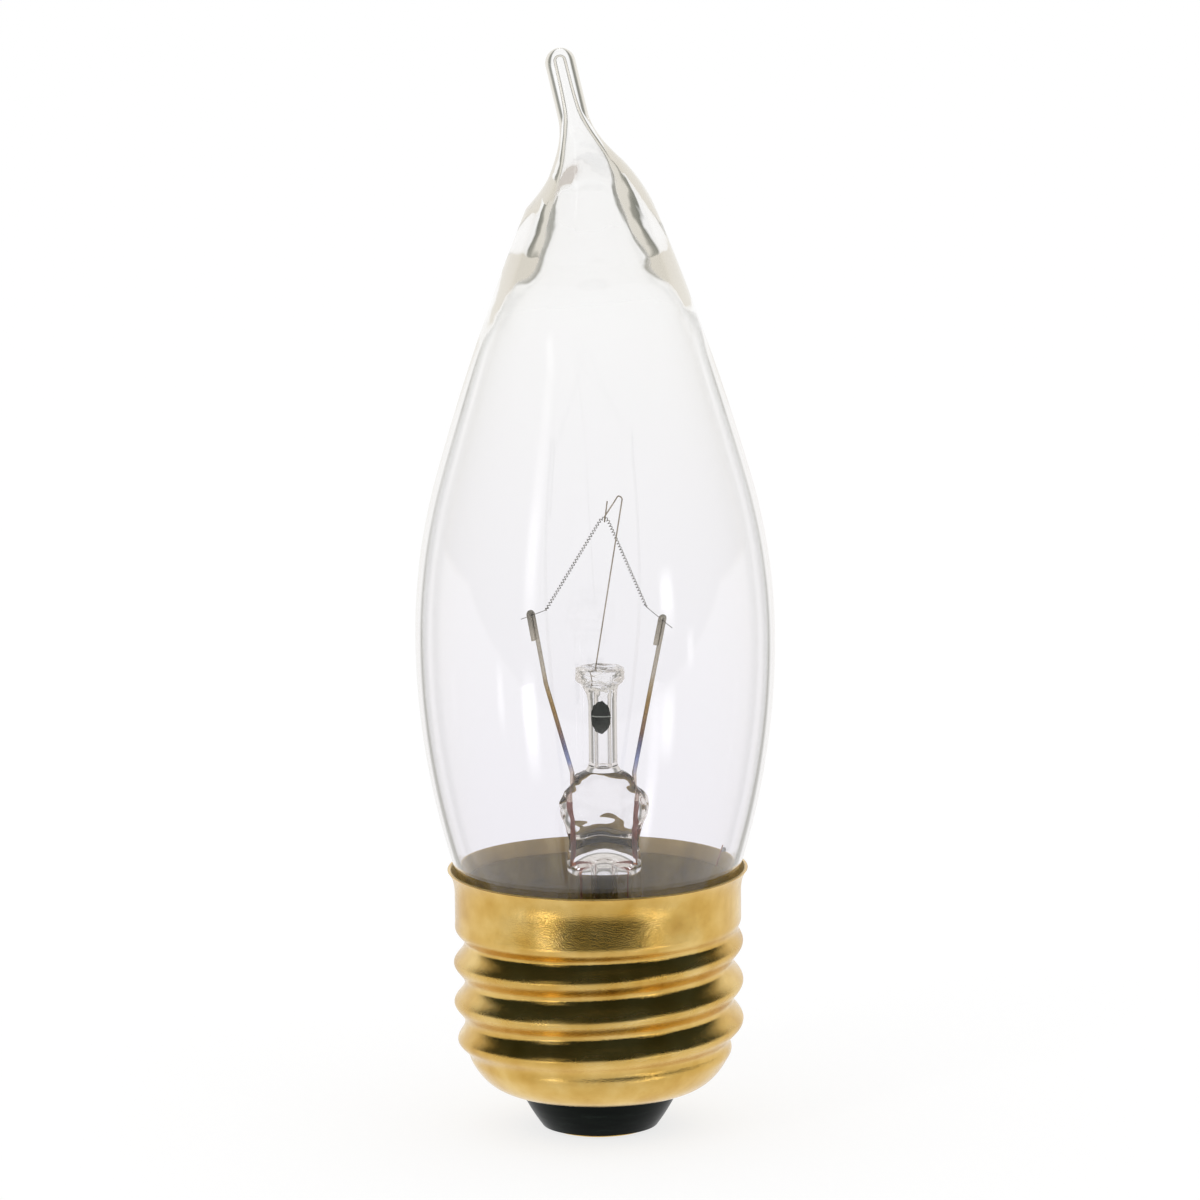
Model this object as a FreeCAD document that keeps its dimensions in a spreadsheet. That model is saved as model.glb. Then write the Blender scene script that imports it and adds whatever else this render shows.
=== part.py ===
import FreeCAD, Part
import math
import os

import Sketcher

# Clear candle lamp with a bent flame tip, a medium screw cap and a single straight coil carried in a V.
# +Z runs up the lamp axis. The origin is the centre of the end contact's flat face. +X is to the right
# in front view and -Y is the front.

SIZES = {
    # screw cap
    "cap_height": 24.0,
    "shell_wall": 0.25,
    "skirt_radius": 12.95,
    "lip_flare": 0.62,
    "lip_rise": 1.3,
    "lip_sweep": 1.5,
    "crest_radius": 13.1,
    "thread_depth": 0.95,
    "thread_pitch": 3.629,
    "first_crest_height": 15.39,
    "skirt_length": 6.6,
    "thread_runout_top": 2.0,
    "thread_bottom": 8.2,
    "thread_runout_bottom": 1.9,
    "bowl_top": 9.96,
    "bowl_foot": 3.7,
    "bowl_fullness": 0.8,
    "shell_hole_radius": 7.3,
    # end contact and its insulator
    "contact_radius": 4.52,
    "contact_thickness": 0.3,
    "contact_edge": 0.1,
    "contact_hole_radius": 1.5,
    "insulator_foot_radius": 5.26,
    "insulator_web": 2.2,
    "insulator_bulge": 0.12,
    "insulator_lip": 1.2,
    "lead_hole_radius": 0.8,
    # glass envelope
    "glass_wall": 0.6,
    "bulb_radius": 16.18,
    "bulb_height": 45.2,
    "ogive_turn": 1.061,
    "ogive_height": 60.0,
    "shoulder_radius": 5.78,
    "shoulder_height": 84.04,
    "heavy_glass_depth": 8.04,
    "heavy_glass_radius": 8.65,
    "shoulder_bore": 3.4,
    "neck_lift": 2.8,
    "neck_fillet": 8.0,
    "neck_knuckle": 21.0,
    "cement_gap": 1.3,
    "rim_clearance": 0.25,
    # bent flame tip
    "tip_length": 14.65,
    "tip_radius": 1.36,
    "tip_angle": 12.7,
    "tip_bend_length": 3.5,
    "tip_taper_length": 8.4,
    "tip_taper_slope": 0.56,
    "tip_bore_radius": 0.36,
    "tip_end_wall": 0.8,
    # glass stem
    "stem_offset": 0.6,
    "stem_wall": 0.9,
    "flare_rise": 8.0,
    "tube_radius": 3.35,
    "tube_top": 25.0,
    "press_height": 8.1,
    "press_width": 7.84,
    "press_depth": 3.7,
    "arbor_radius": 1.3,
    "arbor_bore_radius": 0.55,
    "throat_radius": 1.75,
    "throat_height": 0.8,
    "button_rise": 8.08,
    "button_radius": 2.25,
    "button_thickness": 1.3,
    "button_edge": 0.4,
    "button_shift": 0.17,
    "exhaust_radius": 1.2,
    "exhaust_bore_radius": 0.75,
    "exhaust_foot": 8.0,
    "patch_width": 1.76,
    "patch_length": 2.96,
    "patch_drop": 3.08,
    "patch_film": 0.05,
    # wires
    "lead_radius": 0.2,
    "lead_spread": 2.8,
    "lead_bury": 2.9,
    "lead_bend_drop": 0.3,
    "lead_knee_rise": 7.9,
    "left_lead_angle": 15.54,
    "left_lead_upper_angle": 9.84,
    "left_lead_rise": 14.47,
    "right_lead_angle": 11.31,
    "right_lead_upper_angle": 11.58,
    "right_lead_rise": 13.95,
    "hook_length": 2.6,
    "hook_angle": 45.0,
    "seal_radius": 0.2,
    "seal_spread": 2.15,
    "side_wire_radius": 0.075,
    "side_wire_angle": 25.0,
    "side_wire_sink": 1.0,
    "side_wire_end": 1.2,
    "side_wire_bend": 0.6,
    "solder_radius": 0.36,
    "centre_wire_radius": 0.15,
    "centre_wire_drop": 0.96,
    "centre_wire_straight": 1.5,
    "centre_wire_bend": 1.0,
    "support_radius": 0.06,
    "support_foot": 0.63,
    "loop_dip": 1.3,
    "loop_height": 2.12,
    "loop_reach": 1.6,
    "loop_crown": 0.35,
    "loop_fall": 0.3,
    "loop_entry_reach": 0.9,
    "loop_entry_rise": 1.55,
    "loop_end_reach": 0.25,
    "loop_end_rise": 1.5,
    "coil_radius": 0.13,
    "coil_left": 4.39,
    "coil_left_rise": 0.43,
    "coil_right": 4.6,
    "coil_right_rise": 0.65,
    "coil_apex": 0.96,
    "coil_apex_rise": 8.05,
    "coil_bend": 0.45,
    "tail_radius": 0.03,
    "tail_length": 1.35,
    "fit_clearance": 0.03,
}

doc = FreeCAD.newDocument("candle_lamp")
sheet = doc.addObject("Spreadsheet::Sheet", "Sizes")
for row, (alias, value) in enumerate(SIZES.items(), start=1):
    sheet.set(f"A{row}", alias)
    sheet.set(f"B{row}", str(value))
    sheet.setAlias(f"B{row}", alias)
doc.recompute()


class Cells:
    """Sizes read from the sheet by name."""

    def __getattr__(self, alias):
        return float(sheet.get(alias))


size = Cells()


def cells(expression):
    """The expression with each size written as a reference to its cell."""
    words = []
    word = ""
    for letter in expression + " ":
        if letter.isalnum() or letter == "_":
            word += letter
            continue
        words.append(f"Sizes.{word}" if word in SIZES else word)
        words.append(letter)
        word = ""
    return "".join(words).strip()


def bind(thing, **expressions):
    """Bind properties to expressions in the sheet's sizes. A double underscore stands for a dot."""
    for name, expression in expressions.items():
        thing.setExpression(name.replace("__", "."), cells(expression))
    return thing


def vec(x, y, z):
    return FreeCAD.Vector(x, y, z)


def primitive(kind, name, **expressions):
    return bind(doc.addObject(f"Part::{kind}", name), **expressions)


def fused(name, things):
    joined = doc.addObject("Part::MultiFuse", name)
    joined.Shapes = things
    return joined


def cut(name, base, tool):
    rest = doc.addObject("Part::Cut", name)
    rest.Base = base
    rest.Tool = tool
    return rest


def loft(name, sections):
    skin = doc.addObject("Part::Loft", name)
    skin.Sections = sections
    skin.Solid = True
    skin.Ruled = False
    return skin


# Places and radii that several pieces share, as expressions in the sizes.
MOUTH_HEIGHT = "(cap_height - lip_rise)"
MOUTH_RADIUS = "(skirt_radius - shell_wall - rim_clearance)"
ROOT_BORE = "(crest_radius - thread_depth - shell_wall)"
NECK_RADIUS = f"({ROOT_BORE} - cement_gap)"
THREAD_TOP = "(cap_height - skirt_length)"
NECK_FOOT = "(thread_bottom + neck_lift)"
PRESS_TOP = "(tube_top + press_height)"
BUTTON_FOOT = f"({PRESS_TOP} + button_rise)"
PATCH_MIDDLE = f"({BUTTON_FOOT} - patch_drop)"
LIP_MIDDLE = "(skirt_radius + lip_flare - shell_wall / 2)"
MEAN_SLOPE = "atan((bulb_radius - shoulder_radius) / (shoulder_height - bulb_height))"
BOWL_RISE = f"(bulb_height - {MOUTH_HEIGHT})"
BOWL_SWELL = f"(bulb_radius - {MOUTH_RADIUS})"
BOWL_RADIUS = f"(({BOWL_RISE}^2 + {BOWL_SWELL}^2) / (2 * {BOWL_SWELL}))"
OGIVE_RADIUS = f"((ogive_height - bulb_height) / sin(ogive_turn * {MEAN_SLOPE}))"


# Glass envelope, body of revolution
mouth_height = size.cap_height - size.lip_rise
thread_top = size.cap_height - size.skirt_length
root_bore = size.crest_radius - size.thread_depth - size.shell_wall
neck_radius = root_bore - size.cement_gap
neck_foot = size.thread_bottom + size.neck_lift

# the bulb's lower arc ends at the shell's mouth, a knuckle turns it inwards and a fillet brings it to the neck
bowl_rise = size.bulb_height - mouth_height
bowl_swell = size.bulb_radius - (size.skirt_radius - size.shell_wall - size.rim_clearance)
bowl = (bowl_rise**2 + bowl_swell**2) / (2 * bowl_swell)
bowl_x = size.bulb_radius - bowl
mouth_lean = math.asin(bowl_rise / bowl)
knuckle_x = bowl_x + (bowl - size.neck_knuckle) * math.cos(mouth_lean)
knuckle_z = size.bulb_height - (bowl - size.neck_knuckle) * math.sin(mouth_lean)
fillet_x = neck_radius + size.neck_fillet
fillet_z = knuckle_z - math.sqrt((size.neck_knuckle + size.neck_fillet) ** 2 - (fillet_x - knuckle_x) ** 2)
touch_lean = math.atan2(knuckle_z - fillet_z, fillet_x - knuckle_x)


def glass_radius(height):
    """Outer radius of the glass at a height up to its widest place."""
    if height > mouth_height:
        return bowl_x + math.sqrt(bowl**2 - (size.bulb_height - height) ** 2)
    if height > knuckle_z - size.neck_knuckle * math.sin(touch_lean):
        return knuckle_x + math.sqrt(size.neck_knuckle**2 - (knuckle_z - height) ** 2)
    return fillet_x - math.sqrt(size.neck_fillet**2 - max(height - fillet_z, 0.0) ** 2)


def bulb_body(name, inset):
    """Solid of revolution under the shoulder, set in from the outer glass by the wall given."""
    body = doc.addObject("PartDesign::Body", name)
    plane = next(f for f in body.Origin.OriginFeatures if f.Role == "XZ_Plane")
    sketch = body.newObject("Sketcher::SketchObject", name + "Outline")
    sketch.AttachmentSupport = [(plane, "")]
    sketch.MapMode = "FlatFace"

    wall = size.glass_wall if inset != "0" else 0.0
    foot_z = neck_foot - wall
    mean_slope = math.atan((size.bulb_radius - size.shoulder_radius) / (size.shoulder_height - size.bulb_height))
    lift = size.ogive_turn * mean_slope
    ogive = (size.ogive_height - size.bulb_height) / math.sin(lift)
    ogive_x = size.bulb_radius - ogive

    def arc(x, z, radius, start, end):
        circle = Part.Circle(vec(x, z, 0), vec(0, 0, 1), radius)
        return sketch.addGeometry(Part.ArcOfCircle(circle, start, end), False)

    def line(a, b):
        return sketch.addGeometry(Part.LineSegment(a, b), False)

    neck = line(vec(neck_radius - wall, foot_z, 0), vec(neck_radius - wall, fillet_z, 0))
    fillet = arc(fillet_x, fillet_z, size.neck_fillet + wall, math.pi - touch_lean, math.pi)
    knuckle = arc(knuckle_x, knuckle_z, size.neck_knuckle - wall, -touch_lean, -mouth_lean)
    lower = arc(bowl_x, size.bulb_height, bowl - wall, -mouth_lean, 0)
    upper = arc(ogive_x, size.bulb_height, ogive - wall, 0, lift)

    # the last arc leaves the ogive's end along its tangent and ends at the shoulder
    turn_x = ogive_x + (ogive - wall) * math.cos(lift)
    turn_z = size.bulb_height + (ogive - wall) * math.sin(lift)
    end_x = size.shoulder_radius - wall
    end_z = size.shoulder_height
    span = math.hypot(end_x - turn_x, end_z - turn_z)
    chord = math.atan2(end_z - turn_z, end_x - turn_x) - (lift + math.pi / 2)
    last = span / (2 * math.sin(chord))
    last_x = turn_x - last * math.cos(lift)
    last_z = turn_z - last * math.sin(lift)
    taper = arc(last_x, last_z, last, lift, lift + 2 * chord)

    top = line(vec(end_x, end_z, 0), vec(0, end_z, 0))
    axis = line(vec(0, end_z, 0), vec(0, foot_z, 0))
    foot = line(vec(0, foot_z, 0), vec(neck_radius - wall, foot_z, 0))

    start, end, centre = 1, 2, 3
    rule = Sketcher.Constraint
    fixed = [
        rule("Coincident", foot, end, neck, start),
        rule("Tangent", neck, end, fillet, end),
        rule("Tangent", fillet, start, knuckle, start),
        rule("Tangent", knuckle, end, lower, start),
        rule("Coincident", lower, end, upper, start),
        rule("Tangent", upper, end, taper, start),
        rule("Coincident", taper, end, top, start),
        rule("Coincident", top, end, axis, start),
        rule("Coincident", axis, end, foot, start),
        rule("Vertical", neck),
        rule("Vertical", axis),
        rule("Horizontal", top),
        rule("Horizontal", foot),
        rule("PointOnObject", axis, end, -2),
        rule("Horizontal", lower, centre, lower, end),
        rule("Horizontal", upper, centre, upper, start),
    ]
    sketch.addConstraint(fixed)
    knuckle_top = size.bulb_height - (bowl - wall) * math.sin(mouth_lean)
    driven = [
        ("NeckRadius", rule("DistanceX", -1, 1, neck, start, neck_radius - wall), f"{NECK_RADIUS} - {inset}"),
        ("NeckFoot", rule("DistanceY", -1, 1, neck, start, foot_z), f"{NECK_FOOT} - {inset}"),
        ("NeckFillet", rule("Radius", fillet, size.neck_fillet + wall), f"neck_fillet + {inset}"),
        ("KnuckleRadius", rule("Radius", knuckle, size.neck_knuckle - wall), f"neck_knuckle - {inset}"),
        ("KnuckleTop", rule("DistanceY", -1, 1, knuckle, end, knuckle_top),
         f"bulb_height - {BOWL_RISE} * (1 - {inset} / {BOWL_RADIUS})"),
        ("BowlRadius", rule("Radius", lower, bowl - wall), f"{BOWL_RADIUS} - {inset}"),
        ("BulbRadius", rule("DistanceX", -1, 1, lower, end, size.bulb_radius - wall), f"bulb_radius - {inset}"),
        ("BulbHeight", rule("DistanceY", -1, 1, lower, end, size.bulb_height), "bulb_height"),
        ("OgiveRadius", rule("Radius", upper, ogive - wall), f"{OGIVE_RADIUS} - {inset}"),
        ("OgiveHeight", rule("DistanceY", -1, 1, upper, end, turn_z),
         f"bulb_height + (ogive_height - bulb_height) * (1 - {inset} / {OGIVE_RADIUS})"),
        ("ShoulderRadius", rule("DistanceX", -1, 1, taper, end, end_x), f"shoulder_radius - {inset}"),
        ("ShoulderHeight", rule("DistanceY", -1, 1, taper, end, end_z), "shoulder_height"),
    ]
    for label, constraint, expression in driven:
        index = sketch.addConstraint(constraint)
        sketch.renameConstraint(index, label)
        sketch.setExpression(f"Constraints.{label}", cells(expression))

    turned = body.newObject("PartDesign::Revolution", name + "Turned")
    turned.Profile = sketch
    turned.ReferenceAxis = (sketch, ["V_Axis"])
    turned.Angle = 360.0
    return body


def tip_sections(name, radius_at, reach, count):
    """Circles along the tip's centreline: a short bend to the lean angle and then a straight run."""
    circles = []
    for step in range(count):
        share = f"{step / (count - 1)}"
        run = f"({share} * {reach})"
        bent = f"min({run}; tip_bend_length)"
        straight = f"max({run} - tip_bend_length; 0)"
        angle = f"(tip_angle * {bent} / tip_bend_length)"
        bow = "(tip_bend_length * 180 / (pi * tip_angle))"
        circle = primitive(
            "Circle", f"{name}Ring{step}",
            Radius=radius_at(run),
            Placement__Base__x=f"-{bow} * (1 - cos({angle} * 1 deg)) - {straight} * sin(tip_angle * 1 deg)",
            Placement__Base__z=f"shoulder_height + {bow} * sin({angle} * 1 deg)"
                               f" + {straight} * cos(tip_angle * 1 deg)",
            Placement__Rotation__Angle=f"{angle} * 1 deg",
        )
        circle.Placement.Rotation = FreeCAD.Rotation(vec(0, -1, 0), 1.0)
        circles.append(circle)
    return circles


def tip_outer(run):
    """Radius of the tip: a cubic from the shoulder, with its slope, to the straight drawn tube."""
    t = f"min({run} / tip_taper_length; 1)"
    fall = f"(2 * {t}^3 - 3 * {t}^2 + 1)"
    ease = f"({t}^3 - 2 * {t}^2 + {t})"
    return f"tip_radius + (shoulder_radius - tip_radius) * {fall} - tip_taper_slope * tip_taper_length * {ease}"


def tip_inner(run):
    """Radius of the bore, which closes evenly from the shoulder to the drawn tube."""
    return f"tip_bore_radius + (shoulder_bore - tip_bore_radius) * (1 - min({run} / tip_taper_length; 1))"


def tip_ball(name, run, radius):
    """Rounded end of the tip or of its bore."""
    bow = "(tip_bend_length * 180 / (pi * tip_angle))"
    straight = f"({run} - tip_bend_length)"
    return primitive(
        "Sphere", name, Radius=radius,
        Placement__Base__x=f"-{bow} * (1 - cos(tip_angle * 1 deg)) - {straight} * sin(tip_angle * 1 deg)",
        Placement__Base__z=f"shoulder_height + {bow} * sin(tip_angle * 1 deg) + {straight} * cos(tip_angle * 1 deg)",
    )


OUTER_REACH = "(tip_length - tip_radius)"
BORE_REACH = "(tip_length - tip_end_wall - tip_bore_radius)"
TIP_STATIONS = 12

outer_bulb = bulb_body("OuterBulb", "0")
inner_bulb = bulb_body("InnerBulb", "glass_wall")
outer_tip = loft("OuterTip", tip_sections("OuterTip", tip_outer, OUTER_REACH, TIP_STATIONS))
inner_tip = loft("InnerTip", tip_sections("InnerTip", tip_inner, BORE_REACH, TIP_STATIONS))
outer_end = tip_ball("OuterTipEnd", OUTER_REACH, "tip_radius")
inner_end = tip_ball("InnerTipEnd", BORE_REACH, "tip_bore_radius")
outer_glass = fused("OuterGlass", [outer_bulb, outer_tip, outer_end])
# the drawn glass is heavy under the shoulder: there a cone bounds the hollow
hollow_low = primitive(
    "Cylinder", "HollowLow", Radius="bulb_radius", Height="shoulder_height - heavy_glass_depth",
)
hollow_high = primitive(
    "Cone", "HollowHigh", Radius1="heavy_glass_radius", Radius2="shoulder_bore",
    Height="heavy_glass_depth", Placement__Base__z="shoulder_height - heavy_glass_depth",
)
bulb_hollow = doc.addObject("Part::MultiCommon", "BulbHollow")
bulb_hollow.Shapes = [inner_bulb, fused("HollowBounds", [hollow_low, hollow_high])]
inner_glass = fused("InnerGlass", [bulb_hollow, inner_tip, inner_end])
glass_envelope = cut("GlassEnvelope", outer_glass, inner_glass)


# Bent wires
def bent_path(points, bend):
    """Straight runs joined by tangent arcs of the bend radius, or smaller where a run is short."""
    edges = []
    here = points[0]
    for i in range(1, len(points) - 1):
        corner = points[i]
        back = (points[i - 1] - corner).normalize()
        ahead = (points[i + 1] - corner).normalize()
        turn = math.pi - back.getAngle(ahead)
        room = 0.48 * min((points[i - 1] - corner).Length, (points[i + 1] - corner).Length)
        reach = min(bend * math.tan(turn / 2), room)
        radius = reach / math.tan(turn / 2)
        first = corner + back * reach
        last = corner + ahead * reach
        inward = (back + ahead).normalize()
        middle = corner + inward * (radius / math.cos(turn / 2) - radius)
        edges.append(Part.LineSegment(here, first).toShape())
        edges.append(Part.Arc(first, middle, last).toShape())
        here = last
    edges.append(Part.LineSegment(here, points[-1]).toShape())
    return Part.Wire(edges)


def round_wire(points, radius, bend):
    """Solid of a round wire along a bent path."""
    path = bent_path(points, bend)
    ring = Part.Wire(Part.makeCircle(radius, points[0], points[1] - points[0]))
    return path.makePipeShell([ring], True, False)


def formed(name, label, shape):
    """A piece made by Part's own functions."""
    piece = doc.addObject("Part::Feature", name)
    piece.Shape = shape
    piece.Placement = FreeCAD.Placement()
    piece.Label = label
    return piece


press_top = size.tube_top + size.press_height
lead_foot = press_top - size.lead_bury
left_lead_top = press_top + size.left_lead_rise
right_lead_top = press_top + size.right_lead_rise


def lead_points(side, lean, upper_lean, top):
    """Lead wire from the press up to its hook, folded over the filament's tail. Side is -1 on the left."""
    bend_height = press_top - size.lead_bend_drop
    knee_height = press_top + size.lead_knee_rise
    foot_x = size.stem_offset + side * size.lead_spread
    slope = side * math.tan(math.radians(lean))
    upper_slope = side * math.tan(math.radians(upper_lean))
    knee_x = foot_x + slope * (knee_height - bend_height)
    over = vec(knee_x + upper_slope * (top - knee_height), 0, top)
    gap = 2 * (size.lead_radius + size.tail_radius + size.fit_clearance)
    turn = math.radians(size.hook_angle)
    fold = vec(-gap * math.cos(turn), -gap * math.sin(turn), 0)
    down = vec(-upper_slope, 0, -1).normalize()
    return [
        vec(foot_x, 0, lead_foot),
        vec(foot_x, 0, bend_height),
        vec(knee_x, 0, knee_height),
        over,
        over + fold,
        over + fold + down * size.hook_length,
    ]


def hook_middle(points):
    """Point between the two strands of a hook where the filament's tail passes."""
    over, folded, free_end = points[-3:]
    fold = folded - over
    down = (free_end - folded).normalize()
    return over + fold * 0.5 + down * (fold.Length / 2 + size.tail_radius + size.fit_clearance)


left_points = lead_points(-1, size.left_lead_angle, size.left_lead_upper_angle, left_lead_top)
right_points = lead_points(1, size.right_lead_angle, size.right_lead_upper_angle, right_lead_top)
lead_bend = size.lead_radius + size.tail_radius + size.fit_clearance
left_lead = formed("LeftLead", "left_lead_wire", round_wire(left_points, size.lead_radius, lead_bend))
right_lead = formed("RightLead", "right_lead_wire", round_wire(right_points, size.lead_radius, lead_bend))


def seal_points(side):
    """Seal wire through the press, from the lead's foot to the hollow of the stem tube."""
    top_x = size.stem_offset + side * size.lead_spread
    foot_x = size.stem_offset + side * size.seal_spread
    step = 2 * size.seal_radius
    low = size.tube_top - size.seal_radius
    return [
        vec(top_x, 0, lead_foot),
        vec(top_x, 0, lead_foot - step),
        vec(foot_x, 0, low + step),
        vec(foot_x, 0, low),
    ]


seal_bend = 4 * size.seal_radius
left_seal = formed("LeftSeal", "left_seal_wire", round_wire(seal_points(-1), size.seal_radius, seal_bend))
right_seal = formed("RightSeal", "right_seal_wire", round_wire(seal_points(1), size.seal_radius, seal_bend))

# Filament: a coiled coil drawn as a round bar of the coil's outside, with a thin tail at each end
hook_left = hook_middle(left_points)
hook_right = hook_middle(right_points)
tail_slope = 1 / math.tan(math.radians(size.hook_angle))
left_y = hook_left.y - (abs(hook_left.x) - size.coil_left) * tail_slope
right_y = hook_right.y + (hook_right.x - size.coil_right) * tail_slope
apex_y = (left_y + right_y) / 2
coil_start = vec(-size.coil_left, left_y, left_lead_top + size.coil_left_rise)
coil_end = vec(size.coil_right, right_y, right_lead_top + size.coil_right_rise)
crest = vec(size.coil_apex, apex_y, coil_start.z + size.coil_apex_rise)
half_turn = (math.pi - (coil_start - crest).getAngle(coil_end - crest)) / 2
coil_apex = crest + vec(0, 0, size.coil_bend * (1 / math.cos(half_turn) - 1))
coil = round_wire([coil_start, coil_apex, coil_end], size.coil_radius, size.coil_bend)


def tail(start, hook):
    """Thin tail from just inside the coil's end through the hook and a little beyond."""
    inside = start + (coil_apex - start).normalize() * 2 * size.tail_radius
    end = hook + (hook - start).normalize() * size.tail_length
    return round_wire([inside, start, end], size.tail_radius, 2 * size.tail_radius)


left_tail = tail(coil_start, hook_left)
right_tail = tail(coil_end, hook_right)
filament = formed("Filament", "filament", coil.fuse([left_tail, right_tail]).removeSplitter())

# Support wire: up from the button, over, down to the coil's apex, under it and up behind
clear = size.coil_radius + size.support_radius + 2 * size.fit_clearance
front_plane = apex_y - clear
rear_plane = apex_y + clear
loop_top = crest.z + size.loop_height
under = crest.z - size.loop_dip * clear
support_points = [
    vec(size.stem_offset - size.button_shift - size.support_foot, front_plane,
        press_top + size.button_rise + size.fit_clearance),
    vec(crest.x + size.loop_reach, front_plane, loop_top - size.loop_fall),
    vec(crest.x + size.loop_reach - size.loop_crown, front_plane, loop_top),
    vec(crest.x + size.loop_entry_reach, front_plane, crest.z + size.loop_entry_rise),
    vec(crest.x, front_plane, under + 2 * clear),
    vec(crest.x, front_plane, under),
    vec(crest.x, rear_plane, under),
    vec(crest.x + size.loop_end_reach, rear_plane, crest.z + size.loop_end_rise),
]
support = formed("Support", "support_wire", round_wire(support_points, size.support_radius, clear))

# Lead-outs below the stem: one to the end contact and one up to the rim of the shell
centre_points = [
    vec(size.stem_offset - size.seal_spread, 0, size.tube_top - size.seal_radius),
    vec(size.stem_offset - size.seal_spread, 0, size.exhaust_foot - size.centre_wire_drop),
    vec(0, 0, size.insulator_web + size.centre_wire_straight),
    vec(0, 0, size.contact_thickness / 2),
]
centre_wire = round_wire(centre_points, size.centre_wire_radius, size.centre_wire_bend)
centre_lead = formed("CentreLead", "centre_lead_out", centre_wire)


def shell_bore(height):
    """Inner radius of the shell that clears the thread's roots, the skirt and the flared lip."""
    if height <= thread_top:
        return root_bore
    lip = max(height - mouth_height, 0.0) / size.lip_rise
    return size.skirt_radius - size.shell_wall + size.lip_flare * lip**size.lip_sweep


turn = math.radians(size.side_wire_angle)
spoke = vec(math.cos(turn), math.sin(turn), 0)
crossing = neck_foot - size.side_wire_sink
wire_heights = [thread_top, thread_top + size.thread_runout_top, mouth_height]
wire_heights += [mouth_height + size.lip_rise * share for share in (0.3, 0.6)]
climb = [
    spoke * ((glass_radius(height) + shell_bore(height)) / 2) + vec(0, 0, height) for height in wire_heights
]
side_points = [
    vec(size.stem_offset + size.seal_spread, 0, size.tube_top - size.seal_radius),
    vec(size.stem_offset + size.seal_spread, 0, crossing),
    vec(climb[0].x, climb[0].y, crossing),
] + climb
side_points[-1] += (side_points[-1] - side_points[-2]).normalize() * size.side_wire_end
side_wire = round_wire(side_points, size.side_wire_radius, size.side_wire_bend)
side_lead = formed("SideLead", "side_lead_out", side_wire)


# Glass stem: flare, tube and press drawn from one piece of tube. The first number sets how the sections
# crowd towards the rim, the second how fast the flare closes.
FLARE_SPACING = 1.5
FLARE_CLOSING = 2


def flare_sections(name, inset, top, count):
    """Circles up the flare: wide at the sealed rim, closing to the tube and moving to the stem's axis."""
    circles = []
    for step in range(count):
        share = (step / (count - 1)) ** FLARE_SPACING
        left = f"{(1 - share) ** FLARE_CLOSING}"
        radius = f"tube_radius + ({NECK_RADIUS} - glass_wall - fit_clearance - tube_radius) * {left}"
        circles.append(primitive(
            "Circle", f"{name}Ring{step}",
            Radius=f"{radius} - {inset}",
            Placement__Base__x=f"stem_offset * (1 - {left})",
            Placement__Base__z=f"{NECK_FOOT} + flare_rise * {share}",
        ))
    circles.append(primitive(
        "Circle", f"{name}RingTop", Radius=f"tube_radius - {inset}",
        Placement__Base__x="stem_offset", Placement__Base__z=top,
    ))
    return circles


# Share of the press's height, of its half width and of its half depth, from the tube to the arbor's foot
PRESS_OUTLINE = [
    (0.10, 0.82, 1.70),
    (0.20, 0.81, 1.42),
    (0.30, 0.86, 1.14),
    (0.40, 0.92, 1.00),
    (0.50, 0.98, 0.95),
    (0.60, 1.00, 0.94),
    (0.70, 0.96, 0.92),
    (0.77, 0.88, 0.91),
    (0.83, 0.76, 0.90),
    (0.90, 0.68, 0.86),
    (0.95, 0.59, 0.80),
]

flare_outer = loft("FlareOuter", flare_sections("FlareOuter", "0", "tube_top", 7))
flare_hollow = loft("FlareHollow", flare_sections("FlareHollow", "stem_wall", "tube_top", 7))
press_rings = [primitive(
    "Ellipse", "PressFoot", MajorRadius="tube_radius", MinorRadius="tube_radius",
    Placement__Base__x="stem_offset", Placement__Base__z="tube_top",
)]
for step, (height, width, depth) in enumerate(PRESS_OUTLINE):
    press_rings.append(primitive(
        "Ellipse", f"PressRing{step}",
        MajorRadius=f"press_width / 2 * {width}", MinorRadius=f"press_depth / 2 * {depth}",
        Placement__Base__x="stem_offset", Placement__Base__z=f"tube_top + press_height * {height}",
    ))
press_rings.append(primitive(
    "Ellipse", "PressCrown", MajorRadius="arbor_radius", MinorRadius="arbor_radius",
    Placement__Base__x="stem_offset", Placement__Base__z=PRESS_TOP,
))
press_outer = loft("PressOuter", press_rings)
stem_glass = fused("StemGlass", [flare_outer, press_outer])
stem_hollow = cut("StemHollow", stem_glass, flare_hollow)
stem_wires = fused("StemWires", [left_lead, right_lead, left_seal, right_seal])
stem_press = cut("StemPress", stem_hollow, stem_wires)

# Arbor: a glass tube on the press, widening to a button that holds the support wire
arbor_tube = primitive(
    "Cylinder", "ArborTube", Radius="arbor_radius", Height="button_rise",
    Placement__Base__x="stem_offset", Placement__Base__z=PRESS_TOP,
)
arbor_bore = primitive(
    "Cylinder", "ArborBore", Radius="arbor_bore_radius",
    Height="button_rise - arbor_bore_radius",
    Placement__Base__x="stem_offset", Placement__Base__z=PRESS_TOP,
)
arbor_throat = primitive(
    "Cone", "ArborThroat", Radius1="arbor_radius", Radius2="throat_radius", Height="throat_height",
    Placement__Base__x="stem_offset", Placement__Base__z=f"{BUTTON_FOOT} - throat_height",
)
button_disc = primitive(
    "Cylinder", "ButtonDisc", Radius="button_radius", Height="button_thickness",
    Placement__Base__x="stem_offset - button_shift", Placement__Base__z=BUTTON_FOOT,
)
doc.recompute()
button = doc.addObject("Part::Fillet", "Button")
button.Base = button_disc
rims = [i for i, edge in enumerate(button_disc.Shape.Edges, start=1) if edge.Curve.TypeId == "Part::GeomCircle"]
button.Edges = [(i, size.button_edge, size.button_edge) for i in rims]
arbor_glass = fused("ArborGlass", [arbor_tube, arbor_throat, button])
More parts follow.
